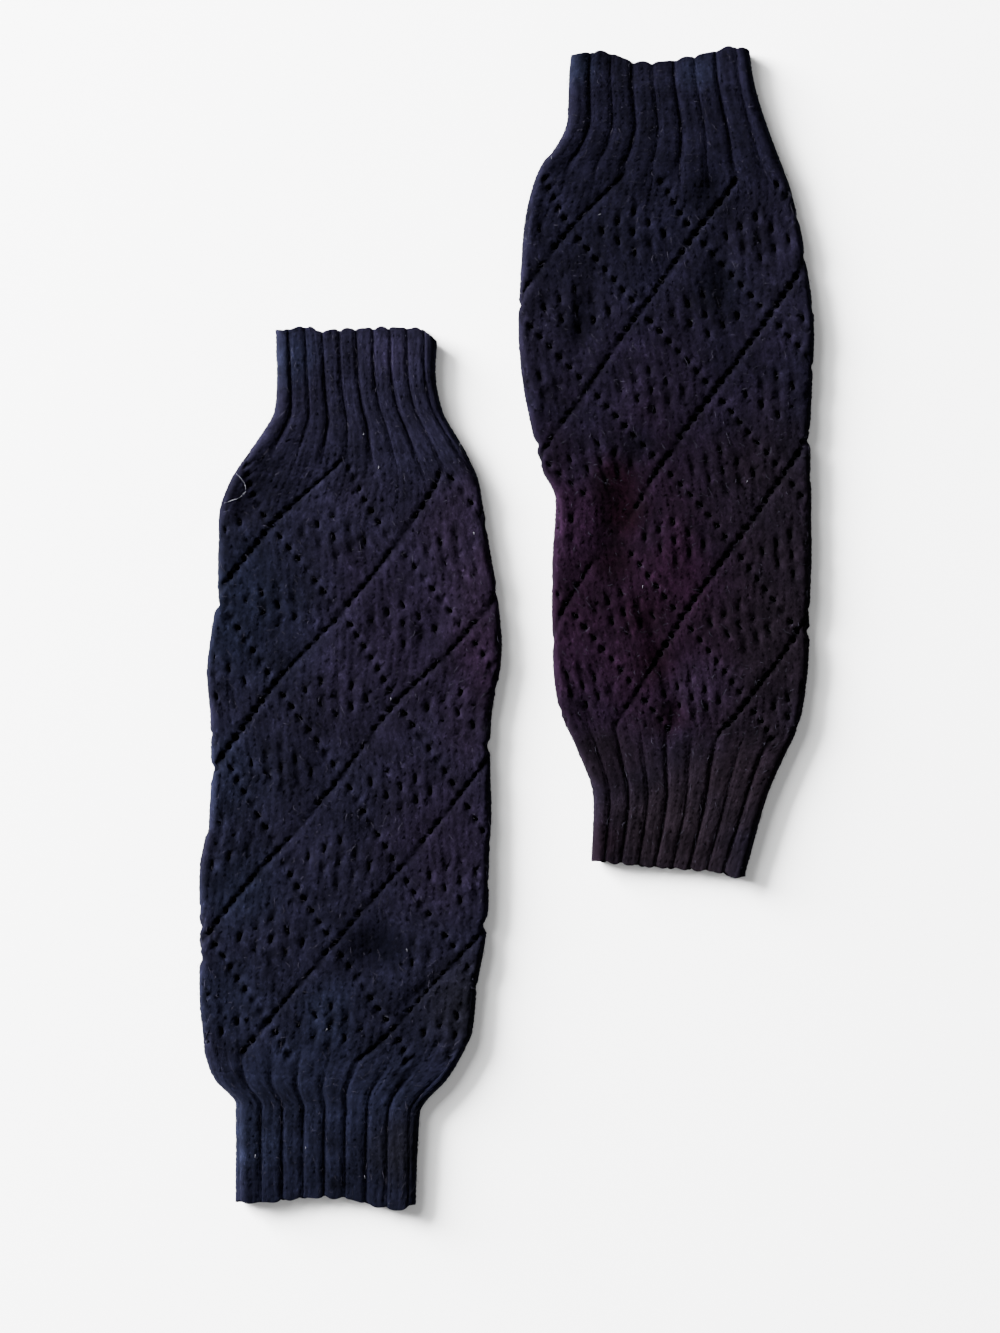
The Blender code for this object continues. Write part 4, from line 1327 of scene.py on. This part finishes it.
for warmer in WARMERS:
    name = warmer.name
    upper_wales = UPPER_FACE[name].last - UPPER_FACE[name].first
    for part, wales in (("upper", upper_wales), ("under", STITCHES - upper_wales)):
        half = knit_pieces[f"{name}_body_{part}"]
        declare(half, f"{name}_body", wales, warmer.body_rows)
    for end in ("top", "bottom"):
        cuff = knit_pieces[f"{name}_{end}_cuff_knit"]
        declare(cuff, f"{name}_{end}_cuff", STITCHES * DRAWN_IN, CUFF_ROWS)
print("sheets of cloth declared:", len(knit_pieces))

# %% [markdown]
# ## Camera
# The photo looks straight down, so the camera does too, with a long lens that hardly shows the
# sides of things. Its place follows from the size of a pixel on the table and from the pixel
# that shows the frame's origin.

# %% Camera
PIXEL = 0.4                     # millimetres on the table for one pixel of the 1000 x 1333 photo
PHOTO_WIDTH, PHOTO_HEIGHT = 1000, 1333
ORIGIN_X, ORIGIN_Y = 506, 627   # the pixel that shows the frame's origin
CAMERA_HEIGHT = 1600.0          # millimetres above the table
SENSOR = 36.0                   # width of the camera's sensor, in millimetres

camera_data = bpy.data.cameras.new("camera")
camera_data.sensor_width = SENSOR
camera_data.lens = SENSOR * CAMERA_HEIGHT / (PHOTO_HEIGHT * PIXEL)
camera = bpy.data.objects.new("camera", camera_data)
camera.location = (
    (PHOTO_WIDTH / 2 - ORIGIN_X) * PIXEL * MM,
    (ORIGIN_Y - PHOTO_HEIGHT / 2) * PIXEL * MM,
    CAMERA_HEIGHT * MM,
)
bpy.context.scene.collection.objects.link(camera)
bpy.context.scene.camera = camera
print("lens:", round(camera_data.lens, 1), "mm")

# %% [markdown]
# ## Table and light
# The table is one pale matt sheet. Most of the light comes from a large low window at the upper
# left: it rakes over the cloth, so it shades the grooves that rise to the right and casts the
# soft shadows beside the warmers. A higher window and a weak ceiling light soften it, and the
# pale room fills in the rest.

# %% Table
TABLE_SIZE, TABLE_LEVEL = 3.0, -0.1         # metres, and millimetres below the cloth
TABLE_PAINT = {"Base Color": (0.94, 0.94, 0.945, 1.0), "Roughness": 0.8}

floor_mesh = bmesh.new()
bmesh.ops.create_grid(floor_mesh, x_segments=1, y_segments=1, size=TABLE_SIZE)
bmesh.ops.translate(floor_mesh, vec=(0.0, 0.0, TABLE_LEVEL * MM), verts=floor_mesh.verts[:])
floor_data = bpy.data.meshes.new("table")
floor_mesh.to_mesh(floor_data)
floor_mesh.free()
floor_data.materials.append(new_material("pale_table", TABLE_PAINT)[0])
table = bpy.data.objects.new("table", floor_data)
bpy.context.scene.collection.objects.link(table)
table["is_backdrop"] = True
print("table lies at z =", TABLE_LEVEL, "mm")

# %% Lights
SoftLight = namedtuple("SoftLight", "name place size power")     # metres and watts
LIGHTS = (
    SoftLight("window", (-3.0, 2.1, 1.8), 3.0, 600.0),
    SoftLight("low window", (-3.8, 2.2, 0.9), 2.4, 6600.0),
    SoftLight("ceiling", (0.3, -0.2, 2.2), 1.6, 8.0),
)
ROOM = {"Color": (1.0, 1.0, 1.0, 1.0), "Strength": 0.28}

for soft_light in LIGHTS:
    data = bpy.data.lights.new(soft_light.name, "AREA")
    data.size, data.energy = soft_light.size, soft_light.power
    light = bpy.data.objects.new(soft_light.name, data)
    light.location = soft_light.place
    light.rotation_euler = (-Vector(soft_light.place)).to_track_quat("-Z", "Y").to_euler()
    bpy.context.scene.collection.objects.link(light)
world = bpy.data.worlds.new("room")
world.use_nodes = True
for socket, value in ROOM.items():
    world.node_tree.nodes["Background"].inputs[socket].default_value = value
bpy.context.scene.world = world
print("lights:", [soft_light.name for soft_light in LIGHTS])

# %% [markdown]
# ## How far the cloth goes past the solids
# The stitches stand a little proud of the plain solids that they cover. The script prints by
# how much, on each side.

# %% Size of the finished model
low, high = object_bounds()
grown_high = [round((b - a) / MM, 2) for a, b in zip(cad_high, high)]
grown_low = [round((b - a) / MM, 2) for a, b in zip(cad_low, low)]
print("grown by, in mm:", grown_high, grown_low)
